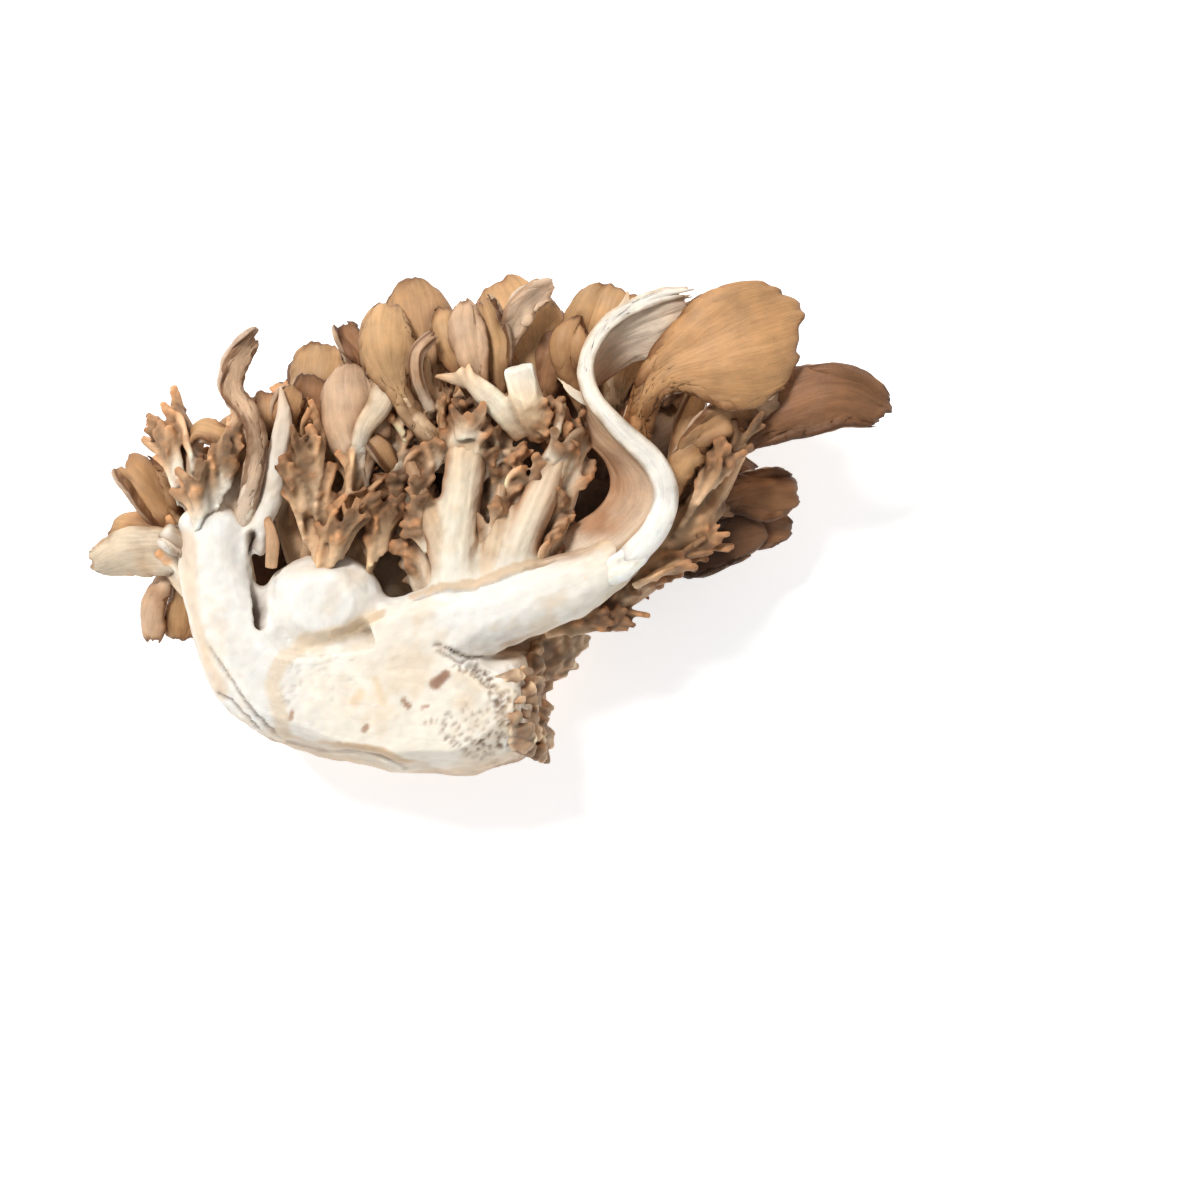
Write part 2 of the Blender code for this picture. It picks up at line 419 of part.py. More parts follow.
def lobes_on(name, stem, radii, count, length, girth, lean, seed, extra):
    """Small flattened lobes round a stem, by the golden angle, leaning out and along it."""
    line, ahead, side, up, _ = frames_along(stem, UPWARD, CURVE_STEPS)
    made = []
    for i in range(count):
        rng = random.Random(seed * 1000 + i)
        t = (i * GOLDEN_STEP + 0.13 * seed) % 1
        k = round(t * CURVE_STEPS)
        turn = i * GOLDEN_ANGLE + seed + rng.uniform(-0.2, 0.2)
        out = math.cos(turn) * side[k] + math.sin(turn) * up[k]
        size = LOBE_LENGTH * length * rng.uniform(0.7, 1.25)
        start = line[k] + out * np.interp(t, np.linspace(0, 1, len(radii)), radii) * 0.5
        first = unit(ahead[k] + out * lean * rng.uniform(0.6, 1.3) + np.cross(out, ahead[k]) * rng.uniform(-0.3, 0.3))
        later = unit(first + 0.5 * ahead[k] + np.array([rng.uniform(-0.35, 0.35) for _ in range(3)]))
        path = [start, start + first * size * 0.55, start + first * size * 0.55 + later * size * 0.5]
        shape = [LOBE_RADIUS * girth * s * rng.uniform(0.85, 1.15) for s in LOBE_SHAPE]
        made.append(tube(f"{name}_lobe{i}", path, shape, out, flat=0.55, sides=3, steps=2, extra=extra))
    return made


def applied(obj):
    """The object with its modifiers applied."""
    graph = bpy.context.evaluated_depsgraph_get()
    old = obj.data
    obj.data = bpy.data.meshes.new_from_object(obj.evaluated_get(graph))
    obj.modifiers.clear()
    bpy.data.meshes.remove(old)
    return obj


def boolean(obj, others, operation):
    """The object joined with the others, which are then removed, or cut by them, which stay."""
    group = bpy.data.collections.new("operands")
    bpy.context.scene.collection.children.link(group)
    for other in others:
        group.objects.link(other)
    step = obj.modifiers.new(operation.lower(), "BOOLEAN")
    step.operation = operation
    step.operand_type = "COLLECTION"
    step.collection = group
    step.solver = "MANIFOLD"
    applied(obj)
    bpy.data.collections.remove(group)
    if operation == "UNION":
        for other in others:
            bpy.data.objects.remove(other)
    return obj


def one_body(obj):
    """The object without loose scraps and sealed hollows: only its largest closed surface stays."""
    bm = bmesh.new()
    bm.from_mesh(obj.data)
    left = set(bm.faces)
    bodies = []
    while left:
        seed = left.pop()
        body, front = {seed}, [seed]
        while front:
            for edge in front.pop().edges:
                for face in edge.link_faces:
                    if face in left:
                        left.remove(face)
                        body.add(face)
                        front.append(face)
        bodies.append(body)
    bodies.sort(key=lambda body: sum(face.calc_area() for face in body))
    lost = [face for body in bodies[:-1] for face in body]
    bmesh.ops.delete(bm, geom=lost, context="FACES")
    bm.to_mesh(obj.data)
    bm.free()
    return obj


def box(obj):
    points = np.array([vert.co for vert in obj.data.vertices])
    return points.min(axis=0), points.max(axis=0)


def boxes_meet(a, b):
    (low_a, high_a), (low_b, high_b) = box(a), box(b)
    return bool((low_a < high_b).all() and (low_b < high_a).all())


def flesh(extra):
    """The foot, its branches and the bulb in one smooth body, cut flat above and below."""
    pieces = [tube(f"tube{k}", path, radii, flat=flat, sides=16, steps=24)
              for k, (path, radii, flat) in enumerate(FLESH_TUBES)]
    pieces += [lump(f"lump{k}", centre, radii) for k, (centre, radii) in enumerate(FLESH_LUMPS)]
    body = boolean(pieces[0], pieces[1:], "UNION")
    blend = body.modifiers.new("blend", "REMESH")
    blend.mode = "VOXEL"
    blend.voxel_size = FLESH_VOXEL * MM
    relax = body.modifiers.new("relax", "SMOOTH")
    relax.iterations = 4
    applied(body)
    for vert in body.data.vertices:
        x, y, z = (c / MM for c in vert.co)
        level = CUT_HEIGHT + 0.7 * math.sin(x / 13) + 0.5 * math.cos(y / 9)
        vert.co.z = min(z, level + max(z - level, 0) * CUT_RISE) * MM
    body.data.update()
    for vert in body.data.vertices:
        vert.co += vert.normal * extra * MM
    fewer = body.modifiers.new("fewer", "DECIMATE")
    fewer.ratio = FLESH_FACES / (2 * len(body.data.polygons))
    applied(body)
    flat_foot = bmesh.new()
    flat_foot.from_mesh(body.data)
    everything = flat_foot.verts[:] + flat_foot.edges[:] + flat_foot.faces[:]
    cut = bmesh.ops.bisect_plane(flat_foot, geom=everything, plane_co=(0, 0, 0), plane_no=UPWARD, clear_inner=True)
    rim = [edge for edge in cut["geom_cut"] if isinstance(edge, bmesh.types.BMEdge)]
    bmesh.ops.contextual_create(flat_foot, geom=rim)
    flat_foot.to_mesh(body.data)
    flat_foot.free()
    return body


def back_caps():
    """The caps of the rounded back, in rings about its centre, each a little different."""
    rng = random.Random(SEED)
    made = []
    for level, ring in enumerate(BACK_RINGS):
        for k in range(ring["count"]):
            share = (k + 0.5 * level) / (ring["count"] - 1 + 0.5 * level)
            angle = math.radians(BACK_ARC[0] + (BACK_ARC[1] - BACK_ARC[0]) * share + rng.uniform(-4, 4))
            away = np.array([math.cos(angle), math.sin(angle)])
            reach = rng.uniform(0.93, 1.04)
            path = []
            for part, height in zip((0.0, 0.62, 1.0), ring["heights"]):
                near, far = np.array(BACK_ROOTS), np.array(ring["reach"]) * reach
                x, y = np.array(BACK_CENTRE) + away * (near + (far - near) * part)
                path.append((x, y, height + rng.uniform(-1.5, 1.5) * part))
            cups = rng.uniform(-0.5, -0.2), rng.uniform(-0.5, -0.2)
            made.append(made_cap(path, (0.3 * away[0], 0.3 * away[1], 1), ring["width"] * rng.uniform(0.85, 1.1),
                                 stalk=10, thick=3.0, flare=(0.0, 0.75), cup=cups, phase=rng.random(),
                                 grid=(4, 3)))
    return made


def spray(name, extra):
    """A body of caps and lobes, fused with the stems that carry them."""
    stems = STEMS.get(name, [])
    pieces = [tube(f"{name}_stem{k}", path, radii, extra=extra) for k, (path, radii) in enumerate(stems)]
    specs = CAPS[name] if name in CAPS else back_caps()
    pieces += [cap(f"{name}_cap{k}", spec, extra) for k, spec in enumerate(specs)]
    for k, group in enumerate(LOBES.get(name, [])):
        pieces += lobes_on(f"{name}{k}", *group, len(name) + k, extra)
    if len(pieces) > 1:
        boolean(pieces[0], pieces[1:], "UNION")
    return pieces[0]


def base(extra):
    """The white flesh, with the ragged lobes at the end of its foot."""
    return boolean(flesh(extra), lobes_on("bark", *LOBES["cut_base"][0], SEED, extra), "UNION")


def painted(obj, name):
    material = bpy.data.materials.new(name)
    material.use_nodes = True
    look = material.node_tree.nodes["Principled BSDF"]
    look.inputs["Base Color"].default_value = (*COLOURS[name], 1)
    look.inputs["Roughness"].default_value = 0.7
    obj.data.materials.clear()
    obj.data.materials.append(material)
    obj.name = obj.data.name = name


def body_of(name, extra=0.0):
    """A node's body, larger by extra on every side."""
    return base(extra) if name == "cut_base" else spray(name, extra)


def build():
    for obj in list(bpy.data.objects):
        bpy.data.objects.remove(obj)
    head = bpy.data.objects.new("head", None)
    bpy.context.scene.collection.objects.link(head)
    taken = []
    for name in ORDER:
        body = body_of(name)
        near = [other for other in taken if boxes_meet(body, other)]
        if near:
            boolean(body, near, "DIFFERENCE")
        one_body(body)
        painted(body, name)
        body.parent = head
        taken.append(body_of(name, GAP))
    for obj in taken:
        bpy.data.objects.remove(obj)


build()
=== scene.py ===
"""The looks of half a maitake head, cut down through its foot and lying with the cut face up.

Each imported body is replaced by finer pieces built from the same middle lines: the white flesh, the
ragged bark of the foot, and for each spray its caps and, fused into one skin, its stems and lobes.
Lengths in the tables are in millimetres.
"""

import math
import random

import bpy
import numpy as np
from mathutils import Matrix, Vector, kdtree
from mathutils.bvhtree import BVHTree


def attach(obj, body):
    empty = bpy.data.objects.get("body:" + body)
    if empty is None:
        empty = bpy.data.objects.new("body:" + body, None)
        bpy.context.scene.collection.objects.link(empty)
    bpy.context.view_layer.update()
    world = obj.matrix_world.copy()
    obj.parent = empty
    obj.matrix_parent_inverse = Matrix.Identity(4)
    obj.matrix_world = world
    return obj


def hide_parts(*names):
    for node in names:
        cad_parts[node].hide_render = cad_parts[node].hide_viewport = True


MM = 0.001
CUT_HEIGHT = 53.0
CUT_RISE = 0.12  # how much of the height above the cut is left
CUT_SWELL = (0.7, 0.5)  # how far the cut face swells along x and along y
CUT_SWELL_LENGTH = (13, 9)
CREAM_LINE = [(-14, -28), (6, -30)]  # the cut face is creamier near this line
CREAM_REACH = 22
LOBE_RADIUS = 1.1
LOBE_LENGTH = 9.5
LOBE_SHAPE = (1.1, 0.95, 0.95, 1.1, 1.3, 1.0)
CURVE_STEPS = 60
GOLDEN_ANGLE = math.pi * (3 - math.sqrt(5))
GOLDEN_STEP = (math.sqrt(5) - 1) / 2
UPWARD = (0, 0, 1)
FLESH_VOXEL = 0.72
FLESH_SMOOTH = 22
LOBE_VOXEL = 0.5
BACK_VOXEL = 1.0
BACK_COARSE = 1.6
FAR = 50.0  # an edge distance that counts as away from any margin

# Flesh tubes: the middle line, the radii along it, and the thickness over the width.
FLESH_TUBES = [
    ([(-40, -20, 32), (-26, -23, 29), (-6, -25, 28), (14, -27, 28), (28, -26, 30)], (14, 17, 19, 18, 13),
     1.75),
    ([(-51, 14, 44), (-54, 24, 45), (-57, 32, 46), (-58, 38, 45)], (6, 4, 2.6, 1.5), 1.0),
    ([(-50, 14, 44), (-50, 25, 46), (-50.5, 33, 47), (-49, 38, 47)], (6, 3.6, 2.4, 1.5), 1.0),
    ([(-22, -24, 40), (-38, -20, 42), (-46, -8, 43), (-51, 8, 43), (-52, 22, 43)], (14, 13, 11, 9.5, 8.5),
     1.0),
    ([(-43, 12, 44), (-37, 26, 48), (-35, 36, 50), (-33.5, 45, 51), (-34.5, 54, 49)],
     (4.5, 3.4, 3.0, 2.8, 1.1), 1.0),
    ([(-8, -14, 43), (8, -6, 44), (24, -1, 45), (40, 5, 46), (53, 12, 46)], (14, 11, 9.5, 8.5, 5.5), 1.0),
    ([(9, -4, 44), (9, 8, 46), (9.5, 18, 47), (11, 30, 48), (12, 39, 49)], (7.5, 6, 5.3, 5.2, 5.6), 1.0),
    ([(22, 0, 44), (24, 10, 46), (27, 19, 48), (31, 28, 49), (36, 39, 49)], (7, 5.5, 4.8, 4.2, 3.0), 1.0),
    ([(16, 0, 44), (18.5, 12, 47), (20, 22, 49), (20.5, 30, 49)], (4, 3, 2.6, 2.2), 1.0),
    ([(8, 4, 45), (4, 16, 48), (0, 27, 49), (-2.5, 35, 49)], (4.5, 3.6, 3.0, 2.2), 1.0),
]
# Flesh lumps: the centre and the radii.
FLESH_LUMPS = [
    ((-24, -1, 40), (15.5, 13, 15)),
    ((4, -3, 12), (38, 29, 16)),
]

STEMS = {
    "left_caps": [([(-56, 2, 38), (-59, 9, 37), (-60, 17, 35)], (4, 6, 4))],
    "trunk_spray": [
        ([(-52, 16, 42), (-54, 26, 43), (-57, 36, 40)], (6, 5, 3)),
        ([(-51, 18, 43), (-49, 28, 45), (-46, 38, 43)], (5, 4.5, 3)),
    ],
    "middle_spray": [
        ([(-24, 4, 34), (-21, 15, 37), (-17, 24, 42), (-15, 33, 44)], (9, 7, 4, 3)),
        ([(-25, 6, 36), (-25, 20, 42), (-28, 32, 45), (-31, 42, 45)], (6, 4.5, 3, 2)),
        ([(-27, 6, 32), (-33, 18, 33), (-36, 30, 31)], (6, 4, 2.5)),
        ([(-19, 8, 34), (-12, 17, 37), (-6, 26, 37)], (6, 4, 2.5)),
        ([(-24, 14, 34), (-22, 30, 32), (-23, 44, 32)], (6, 5, 3)),
    ],
    "crown_caps": [
        ([(4, 34, 36), (5, 44, 40), (2, 52, 43)], (6, 6, 4)),
        ([(5, 44, 38), (16, 47, 41), (30, 46, 38)], (6, 5, 4)),
    ],
    "column_frills": [
        ([(3, 2, 38), (-1, 12, 40), (-4, 24, 42), (-6, 37, 45)], (5, 4.2, 3.6, 2.4)),
        ([(3, 12, 41), (16, 22, 40), (30, 26, 40)], (3.6, 3.6, 3.2)),
        ([(26, 6, 39), (33, 18, 42), (38, 32, 45), (39, 41, 46)], (4.5, 3.8, 3, 2.2)),
        ([(12, 24, 40), (12, 34, 43), (12, 43, 46)], (4, 5, 5)),
        ([(19, 24, 41), (21, 33, 45), (21, 38, 47)], (3.4, 3, 2.4)),
    ],
    "right_spray": [
        ([(30, -6, 36), (44, 0, 37), (56, 8, 39), (66, 18, 39), (74, 30, 39), (79, 38, 39)],
         (4, 5.5, 6, 6, 5, 3.5)),
    ],
    "top_caps": [([(44, 34, 24), (46, 44, 30), (52, 52, 33), (66, 56, 32)], (7, 7, 5, 4))],
    "under_caps": [
        ([(-34, 12, 17), (-10, 26, 16), (16, 32, 16), (42, 26, 16), (58, 14, 18)], (12, 16, 17, 16, 10)),
    ],
}

# Lobes: the stem they stand on, its radii, how many, how long and stout, and how far they lean out.
LOBES = {
    "left_caps": [([(-58, 10, 38), (-60, 17, 37)], (5, 4), 4, 0.8, 1.0, 1.0)],
    "trunk_spray": [
        ([(-54, 20, 42), (-55, 28, 43), (-58, 36, 40)], (6, 5, 3), 9, 0.95, 1.0, 0.8),
        ([(-50, 22, 43), (-49, 29, 45), (-46, 37, 43)], (5, 4, 3), 6, 0.9, 1.0, 0.8),
    ],
    "middle_spray": [
        ([(-21, 15, 38), (-17, 24, 42), (-15, 33, 44)], (6, 4, 3), 5, 1.0, 1.0, 0.7),
        ([(-25, 16, 41), (-28, 32, 45), (-31, 42, 45)], (5, 3, 2), 8, 1.1, 1.0, 0.6),
        ([(-31, 14, 33), (-33, 20, 33), (-36, 30, 31)], (4, 4, 2.5), 4, 1.1, 1.0, 0.7),
        ([(-14, 12, 37), (-12, 17, 38), (-6, 26, 38)], (5, 4, 2.5), 5, 1.1, 1.0, 0.7),
    ],
    "crown_caps": [
        ([(4, 40, 42), (5, 46, 44), (18, 47, 45), (30, 46, 42)], (6, 6, 5, 4), 6, 0.9, 1.0, 1.1),
    ],
    "column_frills": [
        ([(0, 8, 41), (-4, 24, 43), (-6, 37, 46)], (4.2, 3.6, 2.4), 10, 0.95, 1.0, 0.9),
        ([(12, 34, 45), (12, 42, 48)], (5, 5.5), 5, 0.8, 1.0, 0.6),
        ([(19, 14, 43), (20, 25, 46), (21, 36, 48)], (3, 3, 2.4), 4, 0.9, 1.0, 0.8),
        ([(30, 10, 42), (34, 20, 43), (39, 38, 46)], (3.8, 3.2, 2.4), 7, 0.9, 1.0, 0.8),
    ],
    "right_spray": [
        ([(50, 5, 41), (66, 18, 40), (74, 30, 40), (79, 38, 40)], (6, 6, 5, 3.5), 14, 1.35, 1.0, 0.7),
        ([(30, -6, 36), (44, 0, 37)], (4, 5.5), 5, 1.1, 1.0, 1.2),
    ],
    "top_caps": [([(46, 44, 32), (52, 52, 34)], (6, 5), 4, 1.0, 1.0, 0.9)],
}


def made_cap(path, face, width, **more):
    """A cap's measures: its middle line, which way it faces, its width and what differs from these."""
    usual = {
        "stalk": 0.4 * width, "thick": 2.6, "fan": 1.3, "flare": (0.15, 0.9), "cup": (0.4, 0.4),
        "curl": 1.0, "lobes": (0, 0.0), "wave": (0.7, 3), "phase": 0.0, "across": None, "widths": None,
        "round": 0.45,
    }
    return {**usual, "path": path, "face": face, "width": width, **more}


CAPS = {
    "left_caps": [
        made_cap([(-54, 5, 39), (-62, 11, 41), (-72, 12, 40), (-84.5, 8.5, 35)], (0, -0.3, 1), 13.5,
            stalk=8.5, thick=4.2, fan=0.7, flare=(0.1, 0.6), cup=(-0.8, -0.7), wave=(0.3, 2), round=0.8),
        made_cap([(-58, 13, 37), (-67, 17, 38), (-80, 17.5, 34)], (0, 0.1, 1), 10, stalk=5,
            cup=(-0.5, -0.5)),
        made_cap([(-58, 9, 35), (-65, 5, 35), (-68.5, -2, 32), (-69.5, -11, 29)], (-0.5, 0, 1), 8.5,
            stalk=4.5, fan=0.4, cup=(-0.8, -0.8), phase=0.3),
        made_cap([(-57, 7, 33), (-60, 3, 32), (-61.5, -3, 30), (-62, -10.5, 27)], (0.2, 0, 1), 10,
            stalk=6, fan=0.4, cup=(-0.3, -0.6)),
        made_cap([(-60, 14, 33), (-65, 22, 37), (-70, 30, 38), (-76, 36.5, 34)], (0.2, 0.1, 1), 14,
            stalk=7, fan=1.0, cup=(0.9, -0.6), lobes=(2, 0.12), phase=0.2, thick=3.4),
        made_cap([(-60, 15, 30), (-61.5, 26, 31), (-63, 35, 28)], (-0.2, 0, 1), 13, stalk=7,
            lobes=(2, 0.12), cup=(0.5, 0.7), phase=0.5),
        made_cap([(-57, 11, 43), (-60.5, 14.5, 47), (-65, 17, 46.5)], (0.3, 0.2, 1), 8.5, stalk=4.5,
            cup=(1.2, 1.2)),
    ],
    "trunk_spray": [
        made_cap([(-46, 15, 44), (-42.5, 25, 50), (-40.5, 33, 52.5), (-39.8, 39.5, 54), (-42, 46.5, 53.5),
            (-46.3, 52, 51.5), (-46.2, 58, 50), (-43, 64, 49), (-40, 67.5, 46)], [(-0.3, 0, 1),
            (0.3, 0.2, 1), (0.9, -0.2, 0.8)], 10, stalk=5, fan=0.8, flare=(0.55, 0.9), cup=(0.8, 1.0),
            wave=(0.3, 2), round=0.7),
        made_cap([(-44, 32, 45), (-48, 39, 49), (-54, 42, 48.5), (-57.5, 40, 45)], (0, 0.5, 1), 8,
            stalk=5, cup=(1.1, 0.2), phase=0.4),
        made_cap([(-45, 36, 42), (-39, 44, 43), (-39.5, 53, 42)], (0, 0, 1), 10, stalk=4, cup=(0.5, 0.4)),
        made_cap([(-44, 34, 42), (-34, 42, 42), (-28, 50, 43), (-28, 57.5, 41)], (0.1, 0, 1), 13,
            stalk=4.5, cup=(0.6, -0.4), phase=0.7),
    ],
    "middle_spray": [
        made_cap([(-23, 32, 34), (-24.5, 46, 38), (-26, 57, 39), (-25.5, 66, 34)], (-0.1, 0, 1), 17,
            stalk=5, cup=(-0.4, -0.4), phase=0.1),
        made_cap([(-15, 28, 44), (-15.5, 40, 49), (-17, 51, 50), (-17.5, 60, 45)], (0, -0.1, 1), 18,
            stalk=5, cup=(-0.5, -0.7), curl=0.7, flare=(0.05, 0.6), phase=0.3, round=0.7),
        made_cap([(-15.5, 32, 46), (-14, 42, 50.5), (-9.5, 49, 52.5), (-7.8, 55.5, 52),
            (-11.5, 59.5, 49)], (0.3, 0, 1), 6.5, stalk=4.5, fan=0.6, cup=(-1.0, -1.0), thick=3.6,
            phase=0.6, round=0.7),
        made_cap([(-31, 38, 45), (-33, 46, 48), (-31, 54, 46)], (0.3, 0, 1), 9, stalk=4, cup=(-0.7, 0.5)),
    ],
    "crown_caps": [
        made_cap([(6, 37, 46), (-1.5, 46, 52), (-6.5, 57, 54.5), (-8, 66, 54), (-7.5, 75, 48)],
            (0, -0.1, 1), 17, stalk=5, cup=(-0.8, -0.9), flare=(0.35, 0.8), phase=0.2, round=0.75),
        made_cap([(4, 46, 44), (2, 60, 46), (-1, 73, 45), (-3, 81, 40)], (0, 0, 1), 20, stalk=6,
            cup=(-0.5, -0.6), phase=0.5),
        made_cap([(2, 48, 42), (-9, 54, 42), (-15, 62, 43), (-21, 70, 41)], (0.3, 0.2, 1), 8, stalk=4,
            cup=(0.8, 0.4), phase=0.8),
        made_cap([(3, 47, 50), (0, 54, 55), (0, 61, 56.5), (4.5, 66, 55)], (-0.3, 0, 1), 3.8, stalk=3,
            fan=0.5, cup=(0.6, 0.5)),
        made_cap([(17, 44, 44), (11.5, 56, 49.5), (7, 66, 50.5), (5.5, 74, 46)], (0, -0.1, 1), 9.5,
            stalk=4, cup=(-0.8, -0.6), phase=0.1, round=0.8),
        made_cap([(17, 43, 46), (14.5, 56, 52), (12, 66, 53), (11.5, 75.5, 49)], (0, -0.1, 1), 11,
            stalk=4, cup=(-0.8, -0.8), phase=0.4, round=0.8),
        made_cap([(18, 44, 43), (19.5, 56, 48), (19, 66, 49), (16, 76, 46)], (-0.4, 0, 1), 10, stalk=4.5,
            cup=(-0.3, 0.8), phase=0.9, round=0.7),
        made_cap([(29, 44, 37), (27.5, 60, 40), (23, 72, 42), (19, 81.5, 38)], (0, 0.1, 1), 25, stalk=6,
            cup=(-0.3, -0.5), phase=0.3, wave=(0.4, 2)),
        made_cap([(20, 50, 44), (21, 63, 48), (26, 73, 50), (34, 79, 47)], (0.5, -0.4, 1), 9, stalk=4.5,
            cup=(0.3, 0.5), phase=0.6),
        made_cap([(30, 42, 37), (31, 55, 40), (33, 66, 40.5), (34, 75, 36)], (0.1, 0, 1), 13, stalk=5,
            cup=(-0.6, -0.4), phase=0.7),
    ],
    "column_frills": [
        made_cap([(12, 38, 44), (9, 44, 49), (8, 49, 50)], (0, -0.3, 1), 8, stalk=5, cup=(0.8, 0.8)),
        made_cap([(13, 38, 44), (16, 44, 49), (19, 48, 49)], (0, -0.3, 1), 8, stalk=5, cup=(0.8, 0.7),
            phase=0.5),
        made_cap([(-5, 30, 44), (-9, 37, 49), (-13, 41, 49)], (0.3, 0, 1), 6, stalk=4, cup=(0.7, 0.5)),
        made_cap([(-3, 20, 42), (-8, 28, 47), (-12, 31, 47)], (0.3, 0, 1), 6, stalk=4, cup=(0.6, 0.7),
            phase=0.4),
    ],
    "sickle_frond": [
        made_cap([(47, 7, 50), (57, 16, 54.5), (62, 25, 56), (58, 34, 56.5), (48, 42, 57), (41.5, 51, 57),
            (41.5, 60, 57), (47.5, 68, 57), (58, 73.5, 57), (70.5, 76, 54)], UPWARD, 27, thick=4.2,
            across=[(-0.75, 0.35, -0.5), (-0.85, 0.1, -0.55), (-0.8, 0, -0.6), (-0.75, -0.2, -0.65),
            (-0.1, -0.2, -1), (0.6, -0.4, -0.7), (0.4, -0.85, -0.35), (0.25, -0.95, -0.15)],
            widths=(26, 24, 18, 12, 11, 13, 15, 13), fan=0.7, cup=(0, 0.3), wave=(0.4, 1)),
        made_cap([(52, 10, 52.5), (58.5, 17.5, 56), (61, 26, 57.5), (58, 34, 58), (49.5, 42.5, 58.5),
            (42.8, 51, 58.5), (42, 59.5, 58.5), (47, 68, 58.5), (57, 74, 58), (69, 76.5, 55)], UPWARD,
            4.2, stalk=6.5, thick=3.4, fan=0.2, flare=(0.2, 0.6), cup=(-0.1, -0.1), wave=(0.2, 2)),
    ],
    "great_cap": [
        made_cap([(53, 15, 39), (55.5, 27, 43), (54, 40, 49), (56.5, 50, 54), (62, 56.5, 57),
            (73, 61, 59), (85, 65.5, 58), (97, 69.5, 53)], [(0.3, 0, 1), (-0.2, 0.1, 1), (0, -0.1, 1)],
            35, stalk=7, thick=3.4, fan=1.2, flare=(0.42, 0.9), cup=(-0.3, -0.35), wave=(0.6, 2),
            round=0.35),
    ],
    "right_spray": [
        made_cap([(70, 32, 38), (80, 41, 45), (93, 48, 50), (106, 51, 50), (118, 46.5, 44)], (0, -0.1, 1),
            18, stalk=6, fan=0.9, cup=(-0.4, 0.3), flare=(0.1, 0.65), round=0.7),
        made_cap([(66, 30, 44), (73, 41, 49), (82, 47, 51), (92, 51, 50)], (0.1, -0.3, 1), 8, stalk=4,
            cup=(0.5, 0.4), phase=0.3),
        made_cap([(64, 28, 43), (68, 39, 50), (76, 45.5, 52), (85, 44, 49)], (0.1, -0.5, 1), 10, stalk=5,
            cup=(0.4, 1.0), phase=0.6),
        made_cap([(62, 28, 40), (66, 42, 44), (70.5, 54, 43)], (0, 0, 1), 6.5, stalk=4, cup=(0.5, 0.5)),
        made_cap([(61, 22, 41), (64, 31, 48), (68.5, 36.5, 50), (74, 37, 47)], (0, -0.2, 1), 8, stalk=5,
            cup=(-0.6, -0.6), phase=0.8),
        made_cap([(68, 20, 34), (80, 26, 31), (97, 28, 28)], (0, 0, 1), 15, stalk=6, cup=(-0.3, -0.4),
            phase=0.2),
        made_cap([(64, 14, 32), (80, 19, 27), (95, 18, 22)], (0, -0.1, 1), 14, stalk=6, cup=(-0.4, -0.4),
            phase=0.5),
    ],
    "top_caps": [
        made_cap([(47, 44, 34), (47, 60, 43), (49, 71, 48), (52, 79, 47)], (0, -0.2, 1), 30, stalk=7,
            fan=0.9, cup=(-0.5, -0.5), phase=0.2, flare=(0.1, 0.75), round=0.5),
        made_cap([(45, 43, 36), (40, 54, 45), (37.5, 63, 50), (40, 71.5, 49)], (-0.2, 0, 1), 11, stalk=6,
            cup=(-0.9, -0.8), lobes=(2, 0.08), phase=0.5, thick=3.6, round=0.7),
        made_cap([(60, 50, 32), (69, 64, 38), (76, 77, 37)], (0, 0, 1), 18, stalk=6, cup=(0.4, 0.5),
            phase=0.7),
        made_cap([(50, 46, 32), (52, 58, 38), (54, 69, 39)], (0.2, 0, 1), 17, stalk=8, cup=(0.5, 0.3),
            phase=0.9),
        made_cap([(64, 50, 31), (78, 60, 36), (92, 62, 33)], (0, 0, 1), 18, stalk=6, cup=(0.3, 0.4),
            phase=0.4),
    ],
}

# The caps of the rounded back stand in rings: how many, the ellipse of their tips, and the heights of
# their roots, middles and tips.
BACK_CENTRE = (12, 18)
BACK_ROOTS = (38, 20)
BACK_ARC = (184, 10)  # degrees about BACK_CENTRE, from the left side over the crown to the right
BACK_RINGS = [
    {"count": 7, "reach": (82, 57), "heights": (20, 28, 21), "width": 38},
    {"count": 6, "reach": (68, 45), "heights": (14, 15, 7), "width": 36},
]
SEED = 7

# Colours of a cap as sRGB: the stalk, the blade, the margin and the reverse.
TONES = {
    "cream": ((240, 230, 212), (234, 214, 186), (206, 170, 132), (238, 225, 205)),
    "pale": ((238, 220, 198), (228, 200, 172), (206, 168, 134), (238, 225, 205)),
    "pink": ((232, 210, 186), (214, 178, 144), (144, 102, 70), (235, 215, 195)),
    "rose": ((236, 216, 190), (216, 180, 146), (172, 128, 94), (235, 215, 195)),
    "tan": ((222, 192, 156), (202, 160, 114), (128, 86, 56), (235, 215, 190)),
    "golden": ((176, 130, 88), (200, 152, 104), (136, 92, 58), (236, 216, 190)),
    "buff": ((210, 176, 138), (186, 143, 100), (116, 76, 48), (232, 210, 185)),
    "brown": ((180, 136, 98), (160, 114, 76), (94, 62, 40), (225, 200, 172)),
    "umber": ((140, 98, 66), (140, 98, 66), (104, 72, 50), (215, 185, 155)),
    "dark": ((110, 78, 56), (100, 70, 50), (78, 54, 38), (190, 158, 128)),
    "white": ((246, 241, 232), (245, 239, 228), (232, 214, 188), (242, 236, 226)),
}
LOOKS = {
    "left_caps": ["cream", "tan", "pink", "tan", "buff", "dark", "white"],
    "trunk_spray": ["pink", "tan", "buff", "brown"],
    "middle_spray": ["tan", "pink", "cream", "buff"],
    "crown_caps": ["tan", "buff", "brown", "pink", "tan", "pink", "tan", "tan", "pale", "brown"],
    "column_frills": ["brown", "brown", "buff", "buff"],
    "sickle_frond": ["rose", "white"],
    "great_cap": ["golden"],
    "right_spray": ["umber", "pink", "buff", "tan", "tan", "brown", "umber"],
    "top_caps": ["tan", "buff", "dark", "dark", "brown"],
    "under_caps": ["brown", "buff", "umber", "tan"],
}
